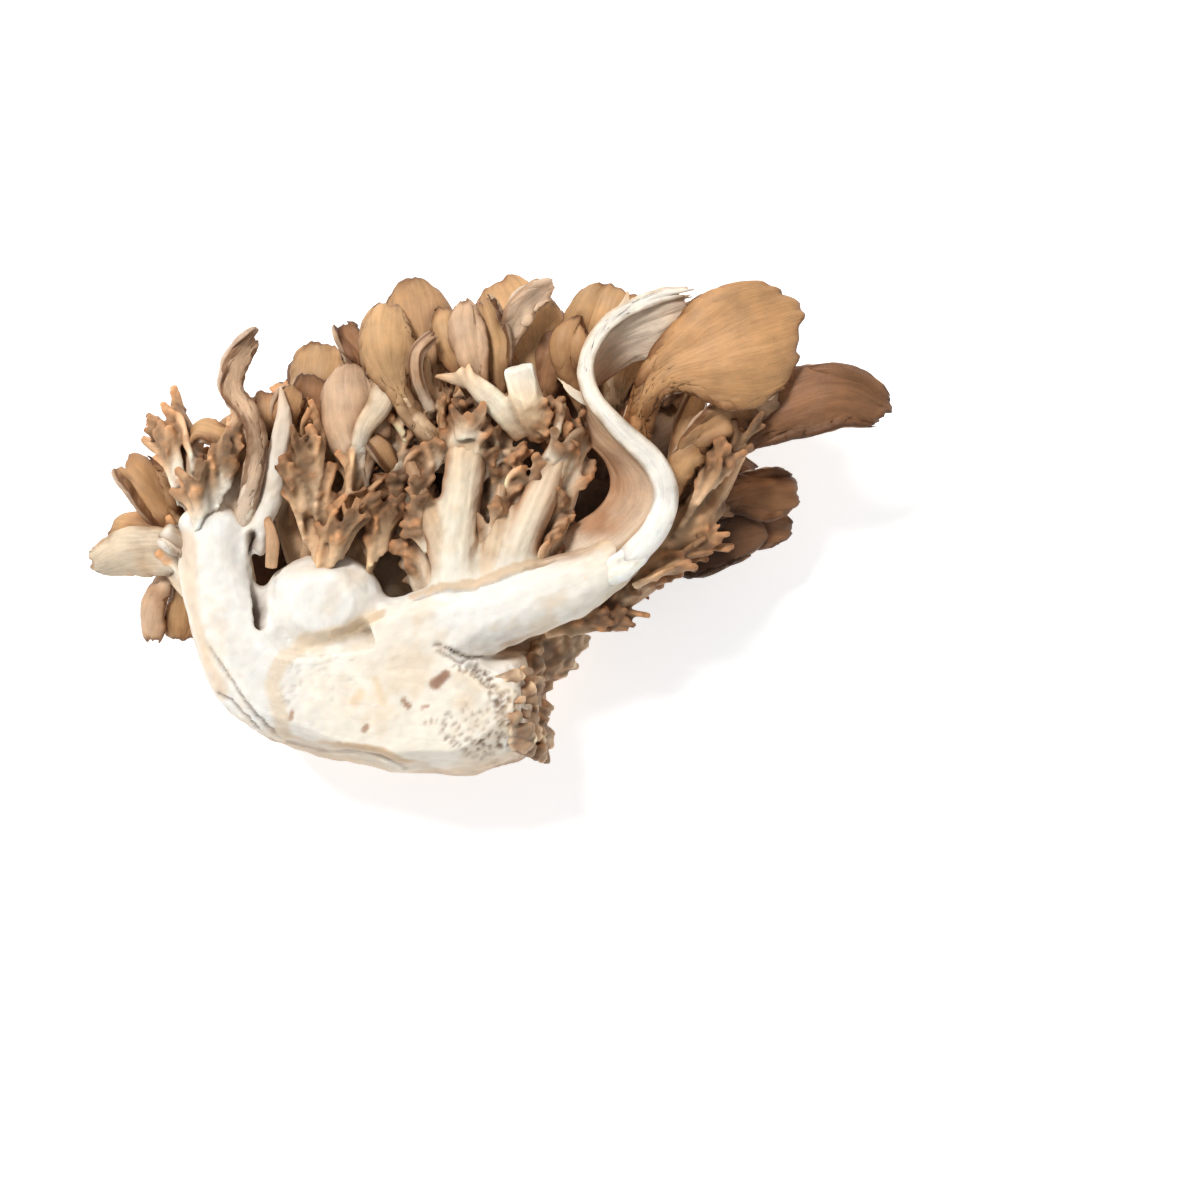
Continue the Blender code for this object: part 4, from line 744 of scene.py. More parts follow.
def cap(spec, tones, pleats, seed, size=1.0):
    """A closed cap: a stalk that flares into a curved, pleated blade with a thin margin."""
    line, ahead, side, up, length = frames_along(spec["path"], spec["face"], CURVE_STEPS)
    half_blade = bool(spec["widths"])
    if half_blade:
        side = unit(spread(spec["across"], CURVE_STEPS))
        up = unit(np.cross(side, ahead))
    widest = max(spec["widths"]) if half_blade else spec["width"]
    nu = int(np.clip(length / (CAP_CELL[0] * size), *CAP_ROWS))
    nv = int(np.clip(widest / (CAP_CELL[1] * size), *CAP_COLUMNS))
    u = np.linspace(0, 1, nu + 1)[:, None] ** 0.9
    v = np.linspace(0 if half_blade else -1, 1, nv + 1)[None, :]
    count, depth = spec["lobes"]
    phase = spec["phase"]
    valley = 1 - np.abs(np.sin(math.pi * (count * v / 2 + phase))) ** 0.6
    nibbled = 0.020 * np.sin(4 * v + 9 * phase) + 0.011 * np.sin(9 * v + 4 * phase)
    nibbled = nibbled + 0.006 * np.sin(23 * v) + 0.03
    along = u * (1 - depth * valley - nibbled)
    start, full = spec["flare"]
    grow = ease((along - start) / (full - start))
    stalk, width = spec["stalk"] / 2, spec["width"] / 2
    half = stalk + (width - stalk) * grow
    if half_blade:
        half = np.interp(along, np.linspace(0, 1, len(spec["widths"])), spec["widths"])
    uneven = 0.06 * np.sin(9 * along + 5 * phase) * np.sign(v) + 0.010 * np.sin(21 * along + 9 * phase)
    half = half * (1 + uneven)
    tip = np.clip((along - TIP_START) / (1 - TIP_START), 0, 1)
    half = half * (1 - spec["round"] * (1 - np.sqrt(1 - tip**2)))
    fan = 0.2 + (spec["fan"] - 0.2) * grow
    across = half * np.sin(v * fan) / np.sin(fan)
    down = half * (1 - np.cos(v * fan)) / np.sin(fan)
    step = np.clip(along - down / length, 0, 1) * CURVE_STEPS
    left, right = spec["cup"]
    bend = np.where(v < 0, -left, right) * np.abs(v) ** spec["curl"] * (0.35 + 0.65 * grow)
    middle = (bend[:, 1:] + bend[:, :-1]) / 2
    run = np.diff(across, axis=1)
    x = np.pad(np.cumsum(run * np.cos(middle), axis=1), ((0, 0), (1, 0)))
    z = np.pad(np.cumsum(run * np.sin(middle), axis=1), ((0, 0), (1, 0)))
    centre = np.argmin(np.abs(v[0]))
    x = x - x[:, centre, None] + across[:, centre, None]
    z = z - z[:, centre, None]
    amount, ruffles = spec["wave"]
    amount, ruffles = amount * min(widest / 18, 0.8), min(ruffles, widest / 7)
    z = z + amount * along**1.5 * np.sin(math.pi * ruffles * v + 6 * phase) * (0.3 + 0.7 * np.abs(v))
    z = z + 0.6 * amount * np.abs(v) ** 3 * along * np.sin(8 * along + 9 * phase)
    sideways = v * max(widest, 6) * 0.5 + 0 * u
    lanes = np.stack([sideways, u * length + 0 * v, np.full_like(z, seed * SEED_SHIFT)], -1)
    wrinkle = rough(lanes / WRINKLE_SIZE, 1.0, seed)
    ribs, deep = pleats
    fold = np.sin(math.pi * ribs * v + 8 * phase + 1.6 * wrinkle + np.sin(3 * along))
    swell = rough(lanes / SWELL_SIZE, 1.0, seed + 2)
    rim = np.minimum((1 - np.abs(v)) * half, (1 - u) * length)
    inward = np.exp(-np.maximum(rim, 0) / CRUMPLE_FADE)
    crumpled = rough(lanes / CRUMPLE_SIZE, 1.0, seed + 4) * inward * ease(along * 3)
    z = z + (0 if half_blade or widest < NARROW else CRUMPLE) * crumpled
    z = z + deep * ease(along * 3) * fold
    z = z + WRINKLE * ease(along * 2) * wrinkle + SWELL * ease(along * 2) * swell

    def at(table):
        low = np.clip(step.astype(int), 0, CURVE_STEPS - 1)
        share = (step - low)[..., None]
        return table[low] * (1 - share) + table[low + 1] * share

    mid = at(line) + at(side) * x[..., None] + at(up) * z[..., None]
    normal = unit(np.cross(np.gradient(mid, axis=1), np.gradient(mid, axis=0)))
    thickness = blade_depth(spec, u, v, grow)
    bump = 0.10 * rough(mid, 3.0, seed)
    top = mid + normal * (thickness / 2 + bump)[..., None]
    under = mid - normal * (thickness / 2 - bump)[..., None]
    n = (nu + 1) * (nv + 1)
    sheet = grid_triangles(nu + 1, nv + 1)
    index = np.arange(n).reshape(nu + 1, nv + 1)
    border = np.concatenate([index[:, 0], index[-1, 1:], index[-2::-1, -1], index[0, -2:0:-1]])
    after = np.roll(border, -1)
    wall = np.concatenate([
        np.stack([border, after, after + n], -1),
        np.stack([border, after + n, border + n], -1),
    ])
    stalk_tone, blade, margin, reverse = (linear(tone) for tone in tones)
    rise = ease((u - 0.04) / 0.5)[..., None] * np.ones_like(v)[..., None]
    edge = np.minimum((1 - np.abs(v)) * half, (1 - u) * length + 0 * v)
    edge = np.where(u < 0.15, FAR, edge + 0.5 * rough(mid, 2.5, seed + 3))
    stained = ease((2.5 + 8 * rough(mid, 9, seed + 9) - edge) / 5) * (0.8 if widest > NARROW else 0)
    near = np.maximum(np.exp(-np.maximum(edge, 0) / EDGE_FADE), stained)[..., None] * rise
    face_tint = stalk_tone + (blade - stalk_tone) * rise
    face_tint = face_tint + (margin - face_tint) * near * 0.8
    mottle_and_fold_shade = 0.22 * rough(mid, 12, seed + 7) + 0.08 * rough(lanes / (1.6, 9, 1), 1.0, seed + 8)
    # The pleat folds and wrinkles add painted light on their raised crests and painted shade in their
    # valleys.
    mottle_and_fold_shade = mottle_and_fold_shade + 0.05 * wrinkle + 0.07 * fold * min(deep / 0.3, 1)
    face_tint = face_tint * (1 + mottle_and_fold_shade)[..., None]
    if half_blade:
        face_tint = sickle_tint(face_tint, v * half, u, mid, seed)
    back_tint = face_tint if half_blade else reverse + (blade - reverse) * 0.15 * rise
    points = np.concatenate([top.reshape(-1, 3), under.reshape(-1, 3)])
    tint = np.concatenate([face_tint.reshape(-1, 3), back_tint.reshape(-1, 3)])
    grain = np.concatenate([lanes.reshape(-1, 3), lanes.reshape(-1, 3) + (0, 0, 5.0)])
    pore = np.repeat([0.0, 1.0], n)
    faces = np.concatenate([sheet[:, ::-1], sheet + n, wall])
    return part(points, faces, tint, grain, np.tile(edge.ravel(), 2), pore)


def sickle_tint(tint, far, u, mid, seed):
    """The hollow of the sickle-shaped frond, darker further in, with a brown line under its cut edge."""
    hollow = ease((far - 1) / 11) * (1 - 0.65 * ease((u - 0.62) / 0.2))
    tint = toward(tint, linear(SICKLE_DEEP), hollow * (0.9 + 0.5 * rough(mid, 7, seed)))
    line = np.exp(-((far - 3.2) / 0.8) ** 2) * 0.5
    tint = toward(tint, linear(SICKLE_LINE), line)
    ends = np.maximum(ease((0.16 - u) / 0.12) * 0.8, ease((u - 0.70) / 0.12) * 0.75)
    return toward(tint, linear(SICKLE_PALE), ends)


def lobe(start, ahead, out, size, wide, lean, rng, tones):
    """A strand that runs along its stem, curls out and ends in one to three rounded lobes."""
    sideways = np.cross(out, ahead)
    first = unit(ahead + out * lean * rng.uniform(0.0, 0.5) + sideways * rng.uniform(-0.3, 0.3))
    later = unit(first + out * lean * rng.uniform(0.1, 1.5) + sideways * rng.uniform(-0.5, 0.5))
    middle = start + first * size * 0.6
    shade = rng.choice(LOBE_SHADES)
    mixed = [np.array(tone) * min(shade, PALEST / max(tone)) for tone in tones]
    shape = [wide * s * rng.uniform(0.85, 1.15) for s in LOBE_SHAPE]
    path = [start, middle, middle + later * size * 0.45]
    made = [tube(path, shape, mixed, out, flat=0.7, sides=10, steps=10, ribs=(2, 0.12), seed=rng.random())]
    for way in (-1, 1):
        if rng.random() < 0.4:
            continue
        aside = unit(later + way * sideways * rng.uniform(0.35, 0.9) + out * rng.uniform(-0.3, 0.4))
        far = size * rng.uniform(0.28, 0.45)
        begin = middle - first * size * rng.uniform(0.0, 0.25)
        bent = begin + unit(aside + first) * far * 0.6
        path = [begin, bent, bent + aside * far * 0.6]
        shape = [wide * 0.75, wide * 0.7, wide * 0.85, wide * 0.6]
        made.append(tube(path, shape, mixed[1:], out, flat=0.75, sides=8, steps=8, seed=rng.random()))
    return made


def lobes_on(stem, radii, count, length, girth, lean, seed, tones):
    """Small lobes round a stem, by the golden angle."""
    line, ahead, side, up, _ = frames_along(stem, UPWARD, CURVE_STEPS)
    made = []
    for i in range(count):
        rng = random.Random(seed * 1000 + i)
        t = (i * GOLDEN_STEP + 0.13 * seed) % 1
        k = round(t * CURVE_STEPS)
        turn = i * GOLDEN_ANGLE + seed + rng.uniform(-0.4, 0.4)
        out = math.cos(turn) * side[k] + math.sin(turn) * up[k]
        size = LOBE_LENGTH * length * rng.uniform(0.55, 1.35)
        start = line[k] + out * np.interp(t, np.linspace(0, 1, len(radii)), radii) * 0.6
        made += lobe(start, ahead[k], out, size, LOBE_RADIUS * girth, lean, rng, tones)
    return made


def neighbours(points, faces):
    """The mean place of each point's neighbours, as a function of any value held at the points."""
    edges = np.concatenate([faces[:, [0, 1]], faces[:, [1, 2]], faces[:, [2, 0]]])
    edges = np.unique(np.sort(edges, axis=1), axis=0)
    n = len(points)
    degree = np.bincount(edges.ravel(), minlength=n).astype(float)

    def mean(values):
        values = np.asarray(values, float)
        flat = values.reshape(n, -1)
        one, other = edges.T
        total = np.stack([
            np.bincount(one, column[other], n) + np.bincount(other, column[one], n) for column in flat.T
        ], axis=1)
        return (total / np.maximum(degree, 1)[:, None]).reshape(values.shape)

    return mean


def settled(values, mean, times):
    """The values with each one moved half way to the mean of its neighbours, this many times."""
    for _ in range(times):
        values = (values + mean(values)) / 2
    return values


def normals_of(points, faces):
    corners = points[faces]
    weighted = np.cross(corners[:, 1] - corners[:, 0], corners[:, 2] - corners[:, 0])
    total = np.stack([
        sum(np.bincount(faces[:, k], weighted[:, c], len(points)) for k in range(3)) for c in range(3)
    ], axis=1)
    return unit(total)


def remeshed(surface, voxel):
    """The outer skin of surfaces that pass through each other, at an even mesh size."""
    mesh = plain_mesh("remesh", surface["points"], surface["faces"])
    obj = placed("remesh", mesh)
    skin = obj.modifiers.new("skin", "REMESH")
    skin.mode = "VOXEL"
    skin.voxel_size = voxel * MM
    graph = bpy.context.evaluated_depsgraph_get()
    made = bpy.data.meshes.new_from_object(obj.evaluated_get(graph))
    bpy.data.objects.remove(obj)
    points = np.empty(len(made.vertices) * 3, np.float32)
    made.vertices.foreach_get("co", points)
    made.calc_loop_triangles()
    faces = np.empty(len(made.loop_triangles) * 3, np.int32)
    made.loop_triangles.foreach_get("vertices", faces)
    bpy.data.meshes.remove(made)
    bpy.data.meshes.remove(mesh)
    return points.reshape(-1, 3).astype(float) / MM, faces.reshape(-1, 3)


def nearest(points, sources):
    tree = kdtree.KDTree(len(sources))
    for k, source in enumerate(sources):
        tree.insert(source, k)
    tree.balance()
    return np.array([tree.find(point)[1] for point in points])


def fused(parts, voxel, smooth):
    """Surfaces grown into one skin, with their colours and fibres taken over from the nearest of them."""
    surface = together(parts)
    points, faces = remeshed(surface, voxel)
    index = nearest(points, surface["points"])
    mean = neighbours(points, faces)
    points = settled(points, mean, smooth)
    tint = settled(surface["tint"][index], mean, 4)
    return part(points, faces, tint, *(surface[key][index] for key in ("grain", "edge", "pore"))), mean


def dry_skin_and_groove_shade(surface, mean, strength):
    """Paler on ridges and darker in grooves: partly the dry skin's own colour, partly painted light on the
    ridges and painted shade in the grooves.
    """
    points = surface["points"]
    normal = normals_of(points, surface["faces"])
    proud = settled(np.sum((points - mean(points)) * normal, axis=1), mean, 3)
    proud = np.clip(proud / (2 * np.std(proud)), -1, 1)[:, None]
    surface["tint"] = np.clip(surface["tint"] * (1 + strength * proud), 0, 1)
    return surface


def stem_lobes(name, skin):
    """Lobes over the stems of a spray: those of its own list, along every stem, and at the cut sides."""
    made = []
    for k, (stem, radii, count, length, girth, lean) in enumerate(LOBES.get(name, [])):
        more = round(count * LOBES_MORE)
        made += lobes_on(stem, radii, more, length, girth, lean, len(name) + k, skin)
    stems = [] if name in BARE_STEMS else STEMS.get(name, [])
    for k, (path, radii) in enumerate(stems):
        made += lobes_on(path, radii, 9 * len(path), 0.9, 1.0, 0.7, 50 + k, skin)
    for k, (path, radii, count, length, girth, lean) in enumerate(FRINGES.get(name, [])):
        made += lobes_on(path, radii, count, length, girth, lean, 80 + k, skin)
    return made


def painted_deep_shade(surface):
    """Painted shade: darker down between the sprays, where shade falls."""
    points = surface["points"]
    x, y, z = points.T
    out = np.hypot((x - DEEP_CENTRE[0]) / DEEP_RADII[0], (y - DEEP_CENTRE[1]) / DEEP_RADII[1])
    inner = ease((0.95 - out) / 0.25) * ease((y + 6) / 10)
    share = inner * ease((DEEP_HEIGHT - z + 2 * rough(points, 6, 80)) / 16)
    surface["tint"] = toward(surface["tint"], linear(DEEP_SHADE_BROWN), share * DEEP_SHADE_SHARE)


def caps_of(name):
    """The caps of a spray, each with its measures and its colours."""
    specs = CAPS[name] if name in CAPS else back_caps()
    looks = LOOKS[name]
    return [(spec, TONES[looks[k % len(looks)]]) for k, spec in enumerate(specs)]


def spray_skin(name, k_seed):
    """The stems, the lobes and the roots of the caps of a spray."""
    skin = SKINS[name]
    rng = random.Random(k_seed)
    parts = stem_lobes(name, skin)
    for path, radii in STEMS.get(name, []):
        parts.append(tube(path, radii, skin[:2], ribs=(5, 0.10), seed=rng.random(), steps=24, sides=20))
    for path, radii, tones, flat in STALKS.get(name, []):
        parts.append(tube(path, radii, tones, flat=flat, sides=20, steps=20, ribs=(4, 0.05),
                          seed=rng.random()))
    rooted = [] if name == "sickle_frond" else caps_of(name)
    for spec, tones in rooted:
        line, _ = curve_through(spec["path"], CAP_ROOT[0])
        radius = spec["stalk"] / 2
        radii = (radius, radius * 1.05, radius * 0.7)
        face = spread(spec["face"], 1)[0]
        parts.append(tube(line[:CAP_ROOT[1]], radii, (skin[0], tones[0], tones[0]), face, flat=0.7,
                          ribs=(4, 0.08), seed=rng.random()))
    if not parts:
        return None
    surface, mean = fused(parts, LOBE_VOXEL if name in CAPS else BACK_VOXEL, 2)
    points = surface["points"]
    bumps = 0.14 * rough(points, 2.2, k_seed)
    surface["points"] = points + normals_of(points, surface["faces"]) * bumps[:, None]
    surface["tint"] = surface["tint"] * (1 + 0.16 * rough(points, 5, k_seed + 5))[:, None]
    z = surface["points"][:, 2]
    surface["points"][:, 2] = np.minimum(z, LOBE_TOP + np.maximum(z - LOBE_TOP, 0) * 0.2)
    # Painted shade down between the sprays.
    painted_deep_shade(surface)
    # Painted light on the ridges and painted shade in the grooves, with the dry skin's own colour.
    return dry_skin_and_groove_shade(surface, mean, 0.42)


def spray_caps(name, k_seed):
    """The caps of a spray as one surface."""
    size = 1.0 if name in CAPS else BACK_COARSE
    surface = together([
        cap(spec, tones, PLEATS.get((name, k), USUAL_PLEATS), k_seed * 3 + k, size)
        for k, (spec, tones) in enumerate(caps_of(name))
    ])
    # Painted shade down between the sprays.
    painted_deep_shade(surface)
    return surface


def back_caps():
    """The caps of the rounded back, in rings about its centre, each a little different."""
    rng = random.Random(SEED)
    made = []
    for level, ring in enumerate(BACK_RINGS):
        for k in range(ring["count"]):
            share = (k + 0.5 * level) / (ring["count"] - 1 + 0.5 * level)
            angle = math.radians(BACK_ARC[0] + (BACK_ARC[1] - BACK_ARC[0]) * share + rng.uniform(-4, 4))
            away = np.array([math.cos(angle), math.sin(angle)])
            reach = rng.uniform(0.93, 1.04)
            path = []
            for share, height in zip((0.0, 0.62, 1.0), ring["heights"]):
                near, far = np.array(BACK_ROOTS), np.array(ring["reach"]) * reach
                x, y = np.array(BACK_CENTRE) + away * (near + (far - near) * share)
                path.append((x, y, height + rng.uniform(-1.5, 1.5) * share))
            cups = rng.uniform(-0.5, -0.2), rng.uniform(-0.5, -0.2)
            width = ring["width"] * rng.uniform(0.85, 1.1)
            made.append(made_cap(path, (0.3 * away[0], 0.3 * away[1], 1), width, stalk=10, thick=3.0,
                                 flare=(0.0, 0.75), cup=cups, phase=rng.random(), lobes=(3, 0.12)))
    return made


def line_distance(points, line):
    """How far each point is from a bent line, in the plane of the cut."""
    line = np.array(line, float)
    best = np.full(len(points), FAR)
    for a, b in zip(line, line[1:]):
        run = b - a
        t = np.clip(((points - a) @ run) / max(run @ run, 1e-9), 0, 1)
        best = np.minimum(best, np.linalg.norm(points - a - t[:, None] * run, axis=1))
    return best


def slits():
    """The rungs and the pits as short cracks: how deep, how wide, how brown, and the line."""
    rng = random.Random(SEED + 1)
    made = []
    for line, count, long, deep, brown in RUNGS:
        path, _ = curve_through([(x, y, 0) for x, y in line], count)
        ahead = unit(np.gradient(path, axis=0))
        for place, way in zip(path, ahead):
            cross = np.array([-way[1], way[0]]) * long * rng.uniform(0.5, 1.1)
            tilt = way[:2] * rng.uniform(-0.5, 0.5)
            middle = place[:2] + np.array([rng.uniform(-0.5, 0.5), rng.uniform(-0.5, 0.5)])
            ends = [middle - cross / 2 - tilt / 2, middle + cross / 2 + tilt / 2]
            made.append((deep * rng.uniform(0.5, 1), SLIT, brown * rng.uniform(0.4, 1), ends))
    for centre, radii, count, deep, brown in PITS:
        for _ in range(count):
            turn, far = rng.uniform(0, 2 * math.pi), math.sqrt(rng.random())
            middle = np.array(centre) + np.array(radii) * far * np.array([math.cos(turn), math.sin(turn)])
            way = np.array([rng.uniform(-0.4, 0.4), rng.uniform(-0.4, 0.4)])
            ends = [middle - way, middle + way]
            made.append((deep * rng.uniform(0.4, 1), SLIT, brown * rng.uniform(0.4, 1), ends))
    return made


def flesh():
    """The foot, its branches and the bulb in one skin, cut flat above and below."""
    parts = [tube(path, radii, FLESH_TONES[k], flat=flat, sides=32, steps=48, seed=k * 0.37)
             for k, (path, radii, flat) in enumerate(FLESH_TUBES)]
    parts += [ball(centre, radii, FLESH_WHITE, 3 + k) for k, (centre, radii) in enumerate(FLESH_LUMPS)]
    surface, mean = fused(parts, FLESH_VOXEL, FLESH_SMOOTH)
    points = surface["points"]
    normal = normals_of(points, surface["faces"])
    x, y, z = points.T
    level = CUT_HEIGHT + CUT_SWELL[0] * np.sin(x / CUT_SWELL_LENGTH[0])
    level = level + CUT_SWELL[1] * np.cos(y / CUT_SWELL_LENGTH[1])
    below = ease((level - z) / 5)
    hills = 0.9 * rough(points, 9, 2) + 0.35 * rough(points * (1, 1, 0.5), 2.6, 5)
    points = points + normal * (hills * below)[:, None]
    z = points[:, 2]
    points[:, 2] = np.minimum(z, level + np.maximum(z - level, 0) * CUT_RISE)
    points = settled(points, mean, 2)
    normal = normals_of(points, surface["faces"])
    flat = points[:, :2]
    ragged = flat + 0.5 * np.stack([rough(points, 2.2, 21), rough(points, 2.2, 31)], axis=1)
    face = ease((points[:, 2] - 44) / 5) * ease(normal[:, 2] / 0.6)
    cream = ease(1.2 - line_distance(flat, CREAM_LINE) / CREAM_REACH)
    tint = toward(surface["tint"], linear(FLESH_CREAM), cream)
    fibres = rough(settled(surface["grain"] / FLESH_FIBRE, mean, 2), 1.0, 33)
    column = ease((flat[:, 1] - 6) / 8) * ease((flat[:, 0] + 14) / 6)
    side = ease((0.97 - normal[:, 2] + 0.25 * fibres) / 0.5) * column
    tint = toward(tint, linear(COLUMN_SIDES), side * 0.85)
    tint = tint * (1 + 0.10 * fibres * column)[:, None]
    outer = ease((47.5 - points[:, 2] + 3 * rough(points, 7, 8)) / 9)
    tint = toward(tint, linear(SKIN_TAN), outer * 0.75)
    low = ease((38 - points[:, 2] + 6 * rough(points, 9, 12)) / 14)
    tint = toward(tint, linear(SKIN_BROWN), low * 0.6)
    for colour, wide, fade, strength, line in STAINS:
        share = ease((wide + fade - line_distance(ragged, line)) / fade) * strength
        tint = toward(tint, linear(colour), share * np.maximum(face, 0.4))
    sink = np.zeros(len(points))
    for deep, wide, brown, line in CRACKS + slits():
        far = line_distance(flat if wide == SLIT else ragged, line)
        share = np.exp(-((far / wide) ** 2))
        shown = np.maximum(face, HIDDEN_MARKS)
        sink = np.maximum(sink, deep * share * shown)
        tint = toward(tint, linear(CRACK_BROWN), share * brown * shown)
    fine = 0.16 * rough(points, 1.6, 40) + 0.4 * rough(points, 7, 44)
    points = points + normal * (fine * face - sink + 0.45 * fibres * column)[:, None]
    tint = tint * (1 + 0.05 * rough(points, 5, 50))[:, None]
    aged = ease((rough(points, 14, 51) + 0.35 * rough(points, 3, 52) - 0.05) / 0.5)
    tint = toward(tint, linear(FLESH_AGED), aged * FLESH_AGED_SHARE)
    points[:, 2] = np.maximum(points[:, 2], 0)
    surface["points"], surface["tint"] = points, np.clip(tint, 0, 1)
    # Painted light on the ridges and painted shade in the grooves, with the flesh's own colour.
    return dry_skin_and_groove_shade(surface, mean, 0.10)


def bark(surface):
    """Ragged lumps over the end of the foot, thicker and browner further out."""
    tree = BVHTree.FromPolygons(surface["points"].tolist(), surface["faces"].tolist())
    pale, brown, end = (np.array(tone) for tone in BARK)
    parts = []
    for i in range(BARK_LUMPS):
        rng = random.Random(BARK_SEED + i)
        share = math.sqrt(rng.uniform(0.0, 1.0))
        turn = rng.uniform(*BARK_ARC)
        reach = BARK_NEAR + (BARK_FAR - BARK_NEAR) * share
        x = BARK_CENTRE[0] + reach * math.cos(turn)
        y = BARK_CENTRE[1] + BARK_FLAT * reach * math.sin(turn)
        place, normal, _, _ = tree.ray_cast(Vector((x, y, RAY_HEIGHT)), Vector((0, 0, -1)))
        if place is None or place.z < BARK_LOW:
            continue
        out = unit(np.array(normal))
        away = unit([x - BARK_CENTRE[0], y - BARK_CENTRE[1], -0.5 * share])
        away = unit(away - out * (away @ out) * 0.85)
        size = rng.uniform(4.0, 8.5) * (0.7 + 0.4 * share)
        start = np.array(place) - out * 0.5 - away * 1.5
        shade = rng.uniform(0.0, 0.55) + 0.45 * share
        tones = [pale + (brown - pale) * shade, brown, end * rng.uniform(0.7, 1.1)]
        parts += lobe(start, away, out, size, rng.uniform(0.8, 1.7), 0.3, rng, tones)
    skin, mean = fused(parts, LOBE_VOXEL, 1)
    points = skin["points"]
    bumps = 0.25 * rough(points, 2.0, 60)
    skin["points"] = points + normals_of(points, skin["faces"]) * bumps[:, None]
    skin["tint"] = np.clip(skin["tint"] * (1 + 0.3 * rough(points, 3.5, 61))[:, None], 0, 1)
    # Painted light on the ridges and painted shade in the grooves, with the bark's own colour.
    return dry_skin_and_groove_shade(skin, mean, 0.45)


def crevices(surfaces):
    """How closely other skin stands round each point of each surface, from 0 to 1."""
    whole = together(surfaces)
    tree = BVHTree.FromPolygons(whole["points"].tolist(), whole["faces"].tolist())
    k = np.arange(CREVICE_WAYS) + 0.5
    down, turn = np.arccos(1 - 2 * k / CREVICE_WAYS), GOLDEN_ANGLE * k
    ways = np.stack([np.sin(down) * np.cos(turn), np.sin(down) * np.sin(turn), np.cos(down)], axis=1)
    found = []
    for surface in surfaces:
        points, normals = surface["points"], normals_of(surface["points"], surface["faces"])
        picked = np.arange(0, len(points), CREVICE_STEP)
        closed = []
        for point, normal in zip(points[picked], normals[picked]):
            seen = ways[ways @ normal > 0.15]
            begin = Vector(point + normal * CREVICE_START)
            far = [tree.ray_cast(begin, Vector(way), CREVICE_REACH)[3] for way in seen]
            closed.append(sum(1 - d / CREVICE_REACH for d in far if d is not None) / max(len(far), 1))
        closed = np.array(closed)[nearest(points, points[picked])]
        found.append(settled(closed, neighbours(points, surface["faces"]), 10))
    return found


class Nodes:
    """A material's node tree, with short calls to add to it."""

    def __init__(self, name):
        self.material = bpy.data.materials.new(name)
        self.material.use_nodes = True
        self.tree = self.material.node_tree
        self.shader = self.tree.nodes["Principled BSDF"]

    def add(self, kind, **settings):
        node = self.tree.nodes.new("ShaderNode" + kind)
        for key, value in settings.items():
            setattr(node, key, value)
        return node

    def put(self, **values):
        """Sets inputs of the shader, with _ for each space of their names."""
        for key, value in values.items():
            self.shader.inputs[key.replace("_", " ")].default_value = value

    def link(self, a, b):
        self.tree.links.new(a, b)

    def attribute(self, name, socket="Fac"):
        node = self.add("Attribute", attribute_name=name, attribute_type="GEOMETRY")
        return node.outputs[socket]

    def scaled(self, vector, scale):
        node = self.add("VectorMath", operation="MULTIPLY")
        self.link(vector, node.inputs[0])
        node.inputs[1].default_value = scale
        return node.outputs[0]

    def noise(self, vector, scale, detail=3.0, roughness=0.55):
        node = self.add("TexNoise")
        node.inputs["Scale"].default_value = scale
        node.inputs["Detail"].default_value = detail
        node.inputs["Roughness"].default_value = roughness
        self.link(vector, node.inputs["Vector"])
        return node.outputs["Fac"]

    def ranged(self, value, low, high, to_low, to_high):
        node = self.add("MapRange", clamp=True)
        self.link(value, node.inputs["Value"])
        for key, number in zip(("From Min", "From Max", "To Min", "To Max"), (low, high, to_low, to_high)):
            node.inputs[key].default_value = number
        return node.outputs["Result"]

    def math(self, operation, a, b):
        node = self.add("Math", operation=operation)
        for socket, value in zip(node.inputs, (a, b)):
            if isinstance(value, (int, float)):
                socket.default_value = value
            else:
                self.link(value, socket)
        return node.outputs[0]

    def mix(self, share, a, b, blend="MIX"):
        node = self.add("Mix", data_type="RGBA", blend_type=blend)
        for key, value in (("Factor", share), ("A", a), ("B", b)):
            socket = node.inputs[key]
            if isinstance(value, (int, float)):
                socket.default_value = value
            elif isinstance(value, tuple):
                socket.default_value = (*value, 1)
            else:
                self.link(value, socket)
        return node.outputs["Result"]


